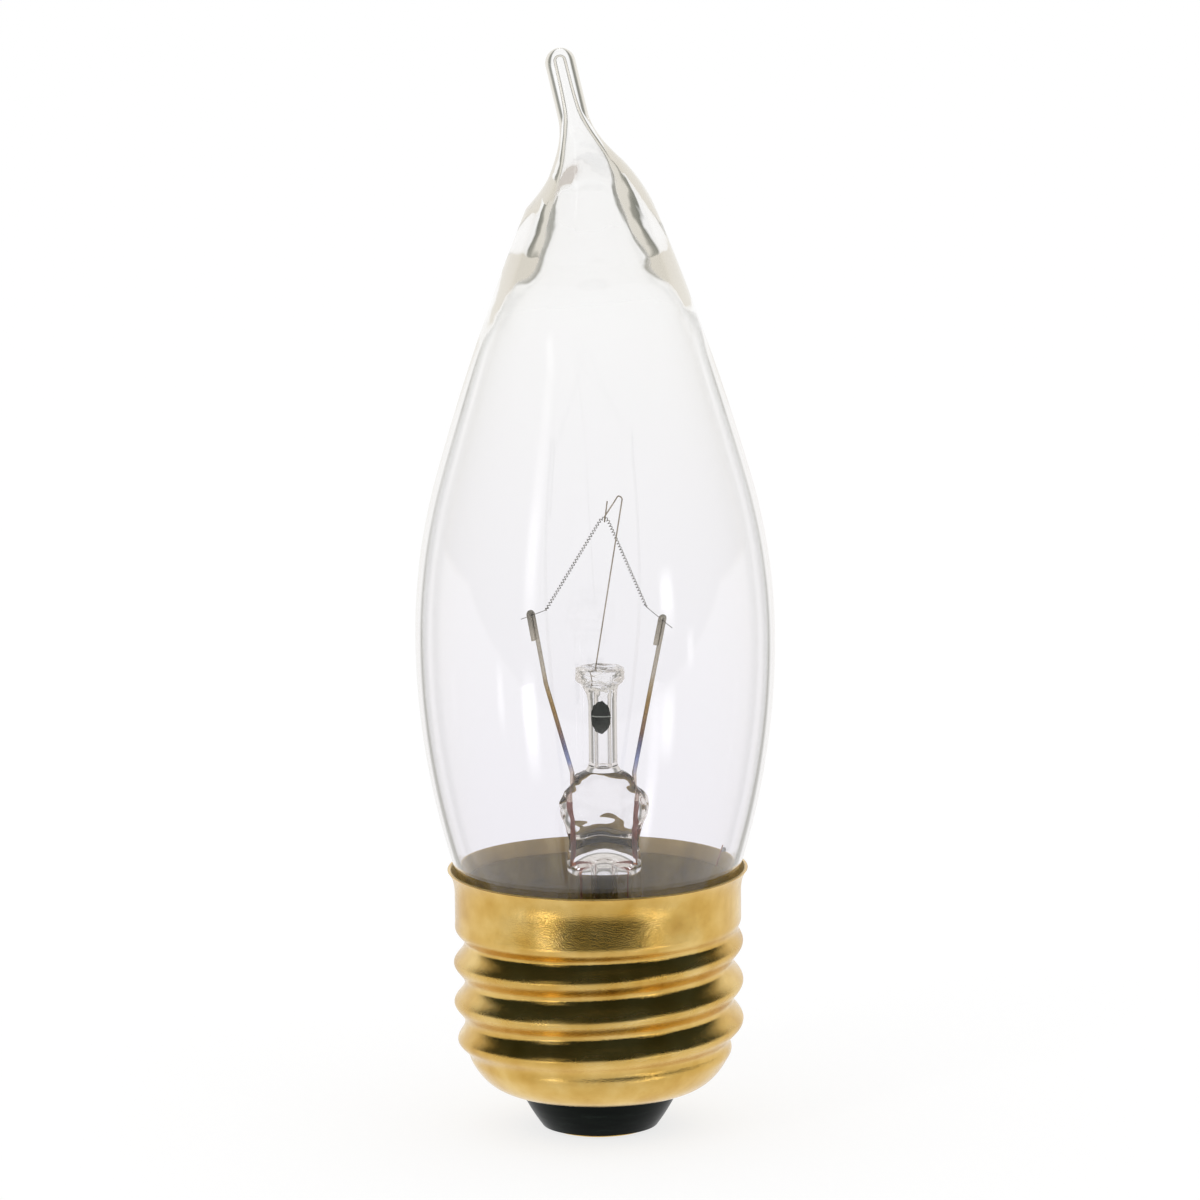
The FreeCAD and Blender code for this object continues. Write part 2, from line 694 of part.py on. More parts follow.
arbor_open = cut("ArborOpen", arbor_glass, arbor_bore)
arbor = cut("Arbor", arbor_open, support)

# Dark getter dab on the front of the arbor
patch_outer = primitive(
    "Cylinder", "PatchOuter", Radius="arbor_radius + patch_film", Height="patch_length * 2",
    Placement__Base__x="stem_offset", Placement__Base__z=f"{PATCH_MIDDLE} - patch_length",
)
patch_inner = primitive(
    "Cylinder", "PatchInner", Radius="arbor_radius", Height="patch_length * 2",
    Placement__Base__x="stem_offset", Placement__Base__z=f"{PATCH_MIDDLE} - patch_length",
)
patch_sleeve = cut("PatchSleeve", patch_outer, patch_inner)
patch_oval = primitive(
    "Ellipse", "PatchOval", MajorRadius="patch_length / 2", MinorRadius="patch_width / 2",
    Placement__Base__x="stem_offset - button_shift", Placement__Base__z=PATCH_MIDDLE,
)
patch_oval.Placement.Rotation = FreeCAD.Rotation(vec(0, 0, 1), vec(1, 0, 0), vec(0, 1, 0), "ZXY")
patch_prism = doc.addObject("Part::Extrusion", "PatchPrism")
patch_prism.Base = patch_oval
patch_prism.DirMode = "Custom"
patch_prism.Dir = vec(0, -1, 0)
patch_prism.Solid = True
bind(patch_prism, LengthFwd="arbor_radius * 2")
getter_patch = doc.addObject("Part::Common", "GetterPatch")
getter_patch.Base = patch_sleeve
getter_patch.Tool = patch_prism

# Exhaust tube inside the stem tube, tipped off at its lower end
exhaust_height = "(tube_top - exhaust_foot - exhaust_radius)"
exhaust_wall = primitive(
    "Cylinder", "ExhaustWall", Radius="exhaust_radius", Height=exhaust_height,
    Placement__Base__x="stem_offset", Placement__Base__z="exhaust_foot + exhaust_radius",
)
exhaust_ball = primitive(
    "Sphere", "ExhaustBall", Radius="exhaust_radius",
    Placement__Base__x="stem_offset", Placement__Base__z="exhaust_foot + exhaust_radius",
)
exhaust_bore = primitive(
    "Cylinder", "ExhaustBore", Radius="exhaust_bore_radius", Height=exhaust_height,
    Placement__Base__x="stem_offset", Placement__Base__z="exhaust_foot + exhaust_radius",
)
exhaust_tube = cut("ExhaustTube", fused("ExhaustGlass", [exhaust_wall, exhaust_ball]), exhaust_bore)


# Screw shell: one thin rolled sheet whose thread starts and ends in the metal. Its rounded bottom is drawn
# between these two angles, in degrees, and the insulator seats on it down from the third.
BOWL_FIRST = 5
BOWL_LAST = 88
SEAT_TOP = 38


def smooth(low, high, value):
    """Rises from 0 at low to 1 at high with flat ends."""
    t = min(max((value - low) / (high - low), 0.0), 1.0)
    return t * t * (3 - 2 * t)


def bowl_point(turn):
    """Base radius and height along the rounded bottom, for a turn from 0 at its top to 90 degrees."""
    middle = size.crest_radius - size.thread_depth / 2
    radius = size.shell_hole_radius + (middle - size.shell_hole_radius) * math.cos(turn) ** size.bowl_fullness
    height = size.bowl_top - (size.bowl_top - size.bowl_foot) * math.sin(turn) ** (1 / size.bowl_fullness)
    return radius, height


def thread_share(height):
    """Depth of the thread at a height, from 0 outside its run to 1 inside it."""
    rising = smooth(size.thread_bottom - size.thread_runout_bottom, size.thread_bottom, height)
    fading = smooth(thread_top, thread_top + size.thread_runout_top, height)
    return rising * (1 - fading)


def shell_row(base, height, angles):
    """Radii of the outer face round one height: base circle, thread wave, skirt and flared lip."""
    skirt = smooth(thread_top, thread_top + size.thread_runout_top, height)
    plain = base + (size.skirt_radius - base) * skirt
    lip = max(height - (size.cap_height - size.lip_rise), 0.0) / size.lip_rise
    plain += size.lip_flare * lip**size.lip_sweep
    wave = size.thread_depth / 2 * thread_share(height)
    radii = []
    for angle in angles:
        turns = (height - size.first_crest_height) / size.thread_pitch - (angle / (2 * math.pi) - 0.5)
        radii.append(plain + wave * math.cos(2 * math.pi * turns))
    return radii


def shell_rows():
    """Base radius and height of each row of points, from the lip down to the hole in the bottom."""
    middle = size.crest_radius - size.thread_depth / 2
    step = size.thread_pitch / 11
    count = max(int(round((size.cap_height - size.bowl_top) / step)), 8)
    rows = []
    for i in range(count + 1):
        rows.append((middle, size.cap_height - (size.cap_height - size.bowl_top) * i / count))
    turns = 16
    for i in range(turns):
        rows.append(bowl_point(math.radians(BOWL_FIRST + (BOWL_LAST - BOWL_FIRST) * i / (turns - 1))))
    return rows


def shell_faces(rows, angles):
    """Outer and inner grids of points. The inner one is set in by the wall, square to the section."""
    outer = []
    inner = []
    sections = [shell_row(base, height, angles) for base, height in rows]
    last = len(rows) - 1
    for i, radii in enumerate(sections):
        above = max(i - 1, 0)
        below = min(i + 1, last)
        outer_row = []
        inner_row = []
        for j, angle in enumerate(angles):
            out = vec(math.cos(angle), math.sin(angle), 0)
            run = sections[below][j] - sections[above][j]
            drop = rows[below][1] - rows[above][1]
            length = math.hypot(run, drop)
            inward_r = drop / length * size.shell_wall
            inward_z = -run / length * size.shell_wall
            if i == 0:
                inward_r, inward_z = -size.shell_wall, 0.0
            outer_row.append(out * radii[j] + vec(0, 0, rows[i][1]))
            inner_row.append(out * (radii[j] + inward_r) + vec(0, 0, rows[i][1] + inward_z))
        outer.append(outer_row)
        inner.append(inner_row)
    return outer, inner


def surface(grid):
    skin = Part.BSplineSurface()
    skin.interpolate(grid)
    return skin


COLUMNS = 40
angles = [2 * math.pi * i / COLUMNS for i in range(COLUMNS + 1)]
outer_grid, inner_grid = shell_faces(shell_rows(), angles)
outer_skin = surface(outer_grid)
inner_skin = surface(inner_grid)


def halves(skin):
    """The skin as two open surfaces that meet on the right and on the left."""
    u0, u1, v0, v1 = skin.bounds()
    back = skin.copy()
    back.segment(u0, u1, v0, (v0 + v1) / 2)
    front = skin.copy()
    front.segment(u0, u1, (v0 + v1) / 2, v1)
    return [back, front]


faces = []
for outside, inside in zip(halves(outer_skin), halves(inner_skin)):
    faces += [outside.toShape(), inside.toShape()]
    u0, u1, v0, v1 = outside.bounds()
    for end in (u0, u1):
        faces.append(Part.makeRuledSurface(outside.uIso(end).toShape(), inside.uIso(end).toShape()))
skin = Part.Shell(faces)
skin.sewShape()
shell_solid = Part.Solid(skin)
if shell_solid.Volume < 0:
    shell_solid.reverse()
screw_shell = formed("ScrewShell", "screw_shell", shell_solid)

# Insulator: black glass that fills the shell's bottom and stands out below it
insulator_top = size.thread_bottom - size.thread_runout_bottom
inset = size.shell_wall + size.fit_clearance
seat = []
for i in range(9):
    degrees = BOWL_LAST + (SEAT_TOP - BOWL_LAST) * i / 8
    radius, height = bowl_point(math.radians(degrees))
    next_radius, next_height = bowl_point(math.radians(degrees - 1))
    length = math.hypot(next_radius - radius, next_height - height)
    inward = vec(height - next_height, 0, next_radius - radius) * (inset / length)
    seat.append(vec(radius, 0, height) + inward)
seat = [point for point in seat if point.z < insulator_top]
seat_curve = Part.BSplineCurve()
seat_curve.interpolate(seat)
hole_edge = size.shell_hole_radius - size.fit_clearance
bulge_radius = (size.insulator_foot_radius + hole_edge) / 2 + size.insulator_bulge
bulge = vec(bulge_radius, 0, (size.contact_thickness + size.bowl_foot) / 2)
foot_corner = vec(size.insulator_foot_radius, 0, size.contact_thickness)
neck_corner = vec(hole_edge, 0, size.bowl_foot)
inner_lip = vec(seat[-1].x - size.insulator_lip, 0, seat[-1].z)
web_corner = vec(size.contact_hole_radius, 0, size.insulator_web)
hole_top = vec(size.lead_hole_radius, 0, size.insulator_web)
hole_foot = vec(size.lead_hole_radius, 0, size.contact_thickness)
outline = [
    Part.LineSegment(hole_foot, foot_corner).toShape(),
    Part.Arc(foot_corner, bulge, neck_corner).toShape(),
    Part.LineSegment(neck_corner, seat[0]).toShape(),
    seat_curve.toShape(),
    Part.LineSegment(seat[-1], inner_lip).toShape(),
    Part.LineSegment(inner_lip, web_corner).toShape(),
    Part.LineSegment(web_corner, hole_top).toShape(),
    Part.LineSegment(hole_top, hole_foot).toShape(),
]
insulator_shape = Part.Face(Part.Wire(outline)).revolve(vec(0, 0, 0), vec(0, 0, 1), 360)
insulator = formed("Insulator", "insulator", insulator_shape)

# End contact with its solder
contact_disc = primitive("Cylinder", "ContactDisc", Radius="contact_radius", Height="contact_thickness")
contact_eye = primitive("Cylinder", "ContactEye", Radius="contact_hole_radius", Height="contact_thickness")
doc.recompute()
contact_round = doc.addObject("Part::Fillet", "ContactRound")
contact_round.Base = contact_disc
lowest = [i for i, edge in enumerate(contact_disc.Shape.Edges, start=1)
          if edge.Curve.TypeId == "Part::GeomCircle" and edge.BoundBox.ZMax < size.contact_thickness / 2]
contact_round.Edges = [(i, size.contact_edge, size.contact_edge) for i in lowest]
centre_contact = cut("CentreContact", contact_round, contact_eye)
solder_plug = primitive("Cylinder", "SolderPlug", Radius="contact_hole_radius", Height="contact_thickness")
contact_solder = cut("ContactSolder", solder_plug, centre_lead)

# Basing cement between the glass neck and the shell, with the side wire in it
cement_low = primitive(
    "Cylinder", "CementLow", Radius=f"{ROOT_BORE} - fit_clearance",
    Height=f"{THREAD_TOP} + thread_runout_top - {NECK_FOOT} - glass_wall",
    Placement__Base__z=f"{NECK_FOOT} + glass_wall",
)
cement_high = primitive(
    "Cylinder", "CementHigh", Radius="skirt_radius - shell_wall - fit_clearance",
    Height="skirt_length - lip_rise - thread_runout_top",
    Placement__Base__z=f"{THREAD_TOP} + thread_runout_top",
)
cement_plug = fused("CementPlug", [cement_low, cement_high])
cement_ring = cut("CementRing", cement_plug, outer_glass)
basing_cement = cut("BasingCement", cement_ring, side_lead)

# Solder bead on the rim where the side wire ends
bead = primitive(
    "Sphere", "SolderBead", Radius="solder_radius", Angle1="0 deg",
    Placement__Base__x=f"{LIP_MIDDLE} * cos(side_wire_angle * 1 deg)",
    Placement__Base__y=f"{LIP_MIDDLE} * sin(side_wire_angle * 1 deg)",
    Placement__Base__z="cap_height",
)
bead_seat = cut("BeadSeat", bead, outer_glass)
side_solder = cut("SideSolder", bead_seat, side_lead)

doc.recompute()

LABELS = {
    glass_envelope: "glass_envelope",
    stem_press: "stem_press",
    arbor: "arbor",
    exhaust_tube: "exhaust_tube",
    getter_patch: "getter_patch",
    centre_contact: "centre_contact",
    contact_solder: "contact_solder",
    basing_cement: "basing_cement",
    side_solder: "side_solder",
}
for piece, label in LABELS.items():
    piece.Label = label
pieces = list(LABELS) + [
    filament, left_lead, right_lead, left_seal, right_seal, support, centre_lead, side_lead,
    screw_shell, insulator,
]

for thing in doc.Objects:
    if "Invalid" in thing.State or "Error" in thing.State:
        raise RuntimeError(f"{thing.Name} failed: {thing.State}")
os.makedirs("parts", exist_ok=True)
for piece in pieces:
    shape = piece.Shape
    if shape.isNull() or not shape.isValid():
        raise RuntimeError(f"{piece.Label} has no valid shape")
    box = shape.BoundBox
    print(f"{piece.Label:16s} solids {len(shape.Solids)} volume {shape.Volume:9.3f}"
          f"  x {box.XMin:7.2f} {box.XMax:7.2f}  y {box.YMin:7.2f} {box.YMax:7.2f}"
          f"  z {box.ZMin:7.2f} {box.ZMax:7.2f}")
    shape.exportStep(f"parts/{piece.Label}.step")
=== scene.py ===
import math

import bpy
from bpy.props import FloatProperty, FloatVectorProperty, IntProperty, PointerProperty, StringProperty
from mathutils import Matrix, Vector, noise


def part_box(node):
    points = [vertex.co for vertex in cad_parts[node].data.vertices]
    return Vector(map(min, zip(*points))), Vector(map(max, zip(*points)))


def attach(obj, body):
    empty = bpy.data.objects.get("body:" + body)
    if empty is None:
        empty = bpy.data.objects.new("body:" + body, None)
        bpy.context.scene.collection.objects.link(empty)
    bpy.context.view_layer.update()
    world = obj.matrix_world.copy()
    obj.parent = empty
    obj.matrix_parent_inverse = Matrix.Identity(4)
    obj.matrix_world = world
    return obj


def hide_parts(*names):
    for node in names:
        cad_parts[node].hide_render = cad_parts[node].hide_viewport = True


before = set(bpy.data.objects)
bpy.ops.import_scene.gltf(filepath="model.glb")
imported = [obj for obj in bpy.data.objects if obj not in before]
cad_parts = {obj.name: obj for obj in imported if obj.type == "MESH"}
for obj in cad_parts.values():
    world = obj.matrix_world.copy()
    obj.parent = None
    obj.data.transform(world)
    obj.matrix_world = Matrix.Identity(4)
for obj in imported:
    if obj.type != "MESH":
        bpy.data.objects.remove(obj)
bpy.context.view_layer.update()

bl_info = {
    "name": "Candle Lamp Looks",
    "version": (1, 0, 0),
    "blender": (4, 5, 0),
    "location": "3D View > Sidebar > Candle Lamp",
    "description": "Builds the glass, filament, brass cap and studio of a clear candle lamp with a bent tip",
    "category": "Object",
}

MM = 0.001


def mm(name, text, value):
    """A length property whose default is given in millimetres."""
    return FloatProperty(name=name, description=text, default=value * MM, unit="LENGTH", precision=5)


def place(name, text, x, y, z):
    """A point property whose default is given in millimetres in the row frame."""
    return FloatVectorProperty(
        name=name, description=text, default=(x * MM, y * MM, z * MM),
        unit="LENGTH", subtype="XYZ", precision=5,
    )


def hex_colour(name, text, value):
    """A colour property, as an sRGB hex value."""
    return StringProperty(name=name, description=text, default=value)


class GlassSizes(bpy.types.PropertyGroup):
    radius: FloatProperty(
        name="Bulb radius", description="Largest outer radius of the blown glass",
        default=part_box("glass_envelope")[1].x, unit="LENGTH", precision=5,
    )
    widest: mm("Widest height", "Height of the largest radius", 45.2)
    ogive_radius: mm("Ogive radius", "Profile radius above the widest place", 54.0)
    ogive_top: mm("Ogive top", "Height where the ogive passes into the taper", 60.0)
    shoulder_radius: mm("Shoulder radius", "Outer radius where the tip starts", 5.78)
    shoulder_height: mm("Shoulder height", "Height where the tip starts", 84.04)
    mouth_radius: mm("Mouth radius", "Outer radius of the glass at the cap's mouth", 12.45)
    mouth_height: mm("Mouth height", "Height of the cap's mouth", 22.7)
    neck_radius: mm("Neck radius", "Outer radius of the neck inside the cap", 10.6)
    neck_foot: mm("Neck foot", "Height of the neck's lower end", 11.0)
    neck_fillet: mm("Neck fillet", "Profile radius between neck and bulb", 8.0)
    knuckle: mm("Knuckle", "Profile radius that turns the glass into the cap", 21.0)
    wall: mm("Wall", "Thickness of the blown wall", 0.6)
    tip_length: mm("Tip length", "Length of the tip along its centreline", 14.65)
    tip_radius: mm("Tip radius", "Radius of the drawn tip", 1.36)
    tip_bend: mm("Tip bend", "Length over which the tip bends", 3.5)
    tip_taper: mm("Tip taper", "Length over which the tip narrows", 8.4)
    tip_lean: FloatProperty(
        name="Tip lean", description="Angle between the tip and the lamp's axis",
        default=math.radians(12.7), subtype="ANGLE", unit="ROTATION",
    )
    columns: IntProperty(name="Columns", description="Faces round the glass", default=144, min=24)
    # The lower tint holds painted shade: it draws the glass a little darker towards the cap
    low_tint_and_shade: hex_colour("Lower tint and shade", "Colour of the clear glass near the cap", "#F7F6FA")
    high_tint: hex_colour("Upper tint", "Colour of the clear glass near the tip", "#FFFFFF")


class StemSizes(bpy.types.PropertyGroup):
    offset: mm("Stem offset", "Distance of the stem from the lamp's axis", 0.6)
    tube_radius: mm("Tube radius", "Outer radius of the stem tube", 3.35)
    tube_wall: mm("Tube wall", "Wall of the stem tube", 0.9)
    press_foot: mm("Press foot", "Height where the press starts", 25.0)
    press_top: mm("Press top", "Height of the press's top", 33.1)
    press_half_width: mm("Press half width", "Half width of the press", 3.92)
    arbor_radius: mm("Arbor radius", "Outer radius of the arbor tube", 1.3)
    arbor_bore: mm("Arbor bore", "Radius of the arbor's bore", 0.55)
    button_height: mm("Button height", "Height of the button's underside", 41.18)
    button_shift: mm("Button shift", "How far the button sits off the arbor's axis", 0.17)
    getter_height: mm("Getter height", "Height of the getter dab's middle", 38.1)
    getter_width: mm("Getter width", "Width of the getter dab", 1.76)
    getter_length: mm("Getter length", "Length of the getter dab", 2.96)
    getter_film: mm("Getter film", "Thickness of the getter dab", 0.05)


class WireSizes(bpy.types.PropertyGroup):
    left_end: place("Left coil end", "Left end of the coil", -4.39, -1.55, 48.0)
    apex: place("Coil apex", "Corner of the coil's V", 0.96, -0.14, 56.51)
    right_end: place("Right coil end", "Right end of the coil", 4.6, 1.27, 47.7)
    left_hook: place("Left hook", "Where the left tail passes its hook", -5.76, -0.18, 47.25)
    right_hook: place("Right hook", "Where the right tail passes its hook", 6.05, -0.18, 46.73)
    tail: mm("Tail", "Length of each tail beyond its hook", 1.35)
    tail_radius: mm("Tail radius", "Radius of the tails", 0.03)
    coil_radius: mm("Coil radius", "Radius to the middle of the coiled wire", 0.122)
    coil_wire: mm("Coil wire", "Radius of the coiled wire", 0.034)
    coil_pitch: mm("Coil pitch", "Distance from turn to turn", 0.3)


class CapSizes(bpy.types.PropertyGroup):
    top: FloatProperty(
        name="Rim height", description="Height of the shell's rim",
        default=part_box("screw_shell")[1].z, unit="LENGTH", precision=5,
    )
    wall: mm("Shell wall", "Thickness of the brass sheet", 0.25)
    skirt_radius: mm("Skirt radius", "Outer radius of the plain skirt", 12.95)
    lip_flare: mm("Lip flare", "How far the lip flares out", 0.62)
    lip_rise: mm("Lip rise", "Height over which the skirt flares into its lip", 2.6)
    crest_radius: mm("Crest radius", "Outer radius over the thread's crests", 13.1)
    thread_depth: mm("Thread depth", "Depth from crest to root", 0.95)
    pitch: mm("Pitch", "Rise of the thread in one turn", 3.629)
    first_crest: mm("First crest", "Height of a crest on the left", 15.39)
    thread_top: mm("Thread top", "Height where the thread starts to fade upwards", 17.4)
    fade_top: mm("Upper fade", "Height over which it fades upwards", 2.0)
    thread_foot: mm("Thread foot", "Height where the thread starts to fade downwards", 8.2)
    fade_foot: mm("Lower fade", "Height over which it fades downwards", 1.9)
    bowl_top: mm("Bowl top", "Height where the rounded bottom starts", 9.96)
    bowl_foot: mm("Bowl foot", "Height of the shell's hole", 3.7)
    hole_radius: mm("Hole radius", "Radius of the shell's hole", 7.3)
    columns: IntProperty(name="Columns", description="Faces round the shell", default=240, min=36)


class StageSettings(bpy.types.PropertyGroup):
    lens: FloatProperty(
        name="Lens", description="Focal length of the camera in mm", default=237.9, unit="CAMERA",
    )
    camera_place: place("Camera place", "Where the camera stands", 0.47, -700.0, 180.2)
    pitch: FloatProperty(
        name="Pitch", description="How far the camera looks down",
        default=math.radians(10.65), subtype="ANGLE", unit="ROTATION",
    )
    roll: FloatProperty(
        name="Roll", description="Turn of the camera about its own axis",
        default=-0.0105, subtype="ANGLE", unit="ROTATION",
    )
    floor_size: mm("Floor size", "Side of the square floor", 6000.0)


class CandleLamp(bpy.types.PropertyGroup):
    glass: PointerProperty(type=GlassSizes)
    stem: PointerProperty(type=StemSizes)
    wires: PointerProperty(type=WireSizes)
    cap: PointerProperty(type=CapSizes)
    stage: PointerProperty(type=StageSettings)


# Small helpers for shapes


def smooth(low, high, value):
    """Rises from 0 at low to 1 at high with flat ends."""
    t = min(max((value - low) / (high - low), 0.0), 1.0)
    return t * t * (3 - 2 * t)


def through(points, value):
    """Value of a smooth curve through points (x, y) that are sorted by x. It doesn't overshoot."""
    xs = [p[0] for p in points]
    ys = [p[1] for p in points]
    if value <= xs[0]:
        return ys[0]
    if value >= xs[-1]:
        return ys[-1]
    i = max(k for k in range(len(xs) - 1) if xs[k] <= value)
    runs = [(ys[k + 1] - ys[k]) / (xs[k + 1] - xs[k]) for k in range(len(xs) - 1)]

    def slope(k):
        if k == 0:
            return runs[0]
        if k == len(xs) - 1:
            return runs[-1]
        if runs[k - 1] * runs[k] <= 0:
            return 0.0
        return 2 * runs[k - 1] * runs[k] / (runs[k - 1] + runs[k])

    span = xs[i + 1] - xs[i]
    t = (value - xs[i]) / span
    return (
        ys[i] * (2 * t**3 - 3 * t**2 + 1)
        + ys[i + 1] * (3 * t**2 - 2 * t**3)
        + slope(i) * span * (t**3 - 2 * t**2 + t)
        + slope(i + 1) * span * (t**3 - t**2)
    )


def mesh_piece(name, points, faces, material, body="root"):
    """A smooth-shaded mesh piece from points in metres in the row frame."""
    mesh = bpy.data.meshes.new(name)
    mesh.from_pydata(points, [], faces)
    mesh.update()
    mesh.polygons.foreach_set("use_smooth", [True] * len(mesh.polygons))
    mesh.materials.append(material)
    piece = bpy.data.objects.new(name, mesh)
    bpy.context.scene.collection.objects.link(piece)
    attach(piece, body)
    return piece


def bridge(first, second, count, faces):
    """Faces between two rings of points that start at the two indices."""
    for j in range(count):
        k = (j + 1) % count
        faces.append((first + j, first + k, second + k, second + j))


def rings_to_mesh(rings, close_start=False, close_end=False):
    """Points and faces of a skin over rings of equal length, each capped by a point where asked."""
    points = [point for ring in rings for point in ring]
    count = len(rings[0])
    faces = []
    for i in range(len(rings) - 1):
        bridge(i * count, (i + 1) * count, count, faces)
    for wanted, ring_index, flip in ((close_start, 0, True), (close_end, len(rings) - 1, False)):
        if not wanted:
            continue
        middle = sum((Vector(p) for p in rings[ring_index]), Vector()) / count
        points.append(middle)
        for j in range(count):
            a = ring_index * count + j
            b = ring_index * count + (j + 1) % count
            faces.append((b, a, len(points) - 1) if flip else (a, b, len(points) - 1))
    return points, faces


def joined(parts):
    """Points and faces of several (points, faces) in one."""
    points, faces = [], []
    for part_points, part_faces in parts:
        start = len(points)
        points += part_points
        faces += [tuple(i + start for i in face) for face in part_faces]
    return points, faces


def inside_out(points, faces):
    """The same skin with its faces turned round."""
    return points, [tuple(reversed(face)) for face in faces]


def hollow_body(outer, inner):
    """Points and faces between two skins of rings, joined at their first rings and closed at their last."""
    skin = rings_to_mesh(outer, False, True)
    points, faces = joined([skin, inside_out(*rings_to_mesh(inner, False, True))])
    bridge(len(skin[0]), 0, len(outer[0]), faces)
    return points, faces


def dome(count):
    """Shares of the radius and of the height for the rings of a dome, without its foot and its top."""
    lifts = [math.pi / 2 * i / count for i in range(1, count)]
    return [(math.cos(lift), math.sin(lift)) for lift in lifts]


def frames_along(path):
    """Each point of a path with two directions square to it, which turn as little as they can."""
    side = (path[1] - path[0]).normalized().orthogonal().normalized()
    frames = []
    for i, point in enumerate(path):
        ahead = (path[min(i + 1, len(path) - 1)] - path[max(i - 1, 0)]).normalized()
        side = (side - ahead * side.dot(ahead)).normalized()
        frames.append((point, side, ahead.cross(side)))
    return frames


def tube(path, radius, sides):
    """Points and faces of a round wire along a path, with flat ends."""
    turns = [2 * math.pi * k / sides for k in range(sides)]
    rings = []
    for point, side, other in frames_along(path):
        rings.append([point + (side * math.cos(turn) + other * math.sin(turn)) * radius for turn in turns])
    return rings_to_mesh(rings, True, True)


def rounded(corners, bend, step):
    """Points along straight runs joined by arcs of the bend radius, about a step apart."""
    straight_enough = 1e-4
    largest_share = 0.48
    turn_of_a_piece = 0.2
    path = [corners[0]]
    for i in range(1, len(corners) - 1):
        corner = corners[i]
        back = (corners[i - 1] - corner).normalized()
        ahead = (corners[i + 1] - corner).normalized()
        turn = math.pi - back.angle(ahead)
        if turn < straight_enough:
            path.append(corner)
            continue
        room = largest_share * min((corners[i - 1] - corner).length, (corners[i + 1] - corner).length)
        reach = min(bend * math.tan(turn / 2), room)
        radius = reach / math.tan(turn / 2)
        centre = corner + (back + ahead).normalized() * (radius / math.cos(turn / 2))
        start = corner + back * reach - centre
        normal = start.cross(corner + ahead * reach - centre).normalized()
        steps = max(int(turn / turn_of_a_piece), 2)
        for k in range(steps + 1):
            path.append(centre + Matrix.Rotation(turn * k / steps, 3, normal) @ start)
    path.append(corners[-1])
    even = [path[0]]
    for point in path[1:]:
        gap = (point - even[-1]).length
        pieces = max(int(gap / step), 1)
        for k in range(1, pieces + 1):
            even.append(even[-1].lerp(point, 1 / (pieces - k + 1)))
    return even


# Small helpers for materials


def linear(colour):
    """An sRGB hex value as linear RGBA."""
    channels = [int(colour[i:i + 2], 16) / 255 for i in (1, 3, 5)]
    return [c / 12.92 if c <= 0.04045 else ((c + 0.055) / 1.055) ** 2.4 for c in channels] + [1.0]


def add_node(tree, kind, settings=None, inputs=None, steps=()):
    """Adds a node with its settings. Inputs are values, or outputs of other nodes to link. Steps are the
    positions and hex colours of a ramp."""
    made = tree.nodes.new(kind)
    for name, value in (settings or {}).items():
        setattr(made, name, value)
    for name, value in (inputs or {}).items():
        if isinstance(value, bpy.types.NodeSocket):
            tree.links.new(value, made.inputs[name])
        else:
            made.inputs[name].default_value = value
    while steps and len(made.color_ramp.elements) < len(steps):
        made.color_ramp.elements.new(0.5)
    for i, (position, colour) in enumerate(steps):
        made.color_ramp.elements[i].position = position
        made.color_ramp.elements[i].color = linear(colour)
    return made


def new_material(name):
    """A new material with an empty node tree and its output."""
    material = bpy.data.materials.new(name)
    material.use_nodes = True
    material.node_tree.nodes.clear()
    return material, material.node_tree, add_node(material.node_tree, "ShaderNodeOutputMaterial")


def object_height(tree):
    """The object's own coordinates, and the height above the contact in metres."""
    where = add_node(tree, "ShaderNodeTexCoord").outputs["Object"]
    return where, add_node(tree, "ShaderNodeSeparateXYZ", None, {"Vector": where}).outputs["Z"]


def mottled(tree, where, spot, detail, steps):
    """A colour that changes from spot to spot, whose size is in millimetres."""
    spots = add_node(tree, "ShaderNodeTexNoise", None, {
        "Vector": where, "Scale": 1 / (spot * MM), "Detail": detail,
    })
    return add_node(tree, "ShaderNodeValToRGB", None, {"Fac": spots.outputs["Fac"]}, steps).outputs["Color"]


# A ray that glass or metal has reflected more often than this is caught between the faces of thick glass
CAUGHT_AFTER = 2.5


def clear_glass(name, tint, ior, reflection, depth):
    """Glass whose shadows let the lamps through, so that what it holds is lit as in the open. Tint is one
    colour, or one low down and one high up. Depth tints thick glass, and caught rays leave it straight."""
    material, tree, out = new_material(name)
    body = add_node(tree, "ShaderNodeVolumeAbsorption", None, {"Color": linear("#E0DAD0"), "Density": depth})
    tree.links.new(body.outputs[0], out.inputs["Volume"])
    if len(tint) == 1:
        shade = linear(tint[0])
    else:
        # Two tints by height: the lower one is painted shade, so the glass darkens towards the cap
        _, height = object_height(tree)
        rise = add_node(tree, "ShaderNodeMapRange", None, {
            "Value": height, "From Min": 20 * MM, "From Max": 75 * MM,
        })
        steps = [(0.0, tint[0]), (1.0, tint[1])]
        shade = add_node(tree, "ShaderNodeValToRGB", None, {"Fac": rise.outputs[0]}, steps).outputs["Color"]
    glass = add_node(tree, "ShaderNodeBsdfPrincipled", None, {
        "Base Color": shade, "Roughness": 0.0, "IOR": ior, "Transmission Weight": 1.0,
        "Specular IOR Level": reflection,
    })
    open_air = add_node(tree, "ShaderNodeBsdfTransparent", None, {"Color": shade})
    path = add_node(tree, "ShaderNodeLightPath")
    caught = add_node(tree, "ShaderNodeMath", {"operation": "GREATER_THAN"}, {
        0: path.outputs["Glossy Depth"], 1: CAUGHT_AFTER,
    })
    straight = add_node(tree, "ShaderNodeMath", {"operation": "MAXIMUM"}, {
        0: path.outputs["Is Shadow Ray"], 1: caught.outputs[0],
    })
    mix = add_node(tree, "ShaderNodeMixShader", None, {
        "Fac": straight.outputs[0], 1: glass.outputs[0], 2: open_air.outputs[0],
    })
    tree.links.new(mix.outputs[0], out.inputs["Surface"])
    return material


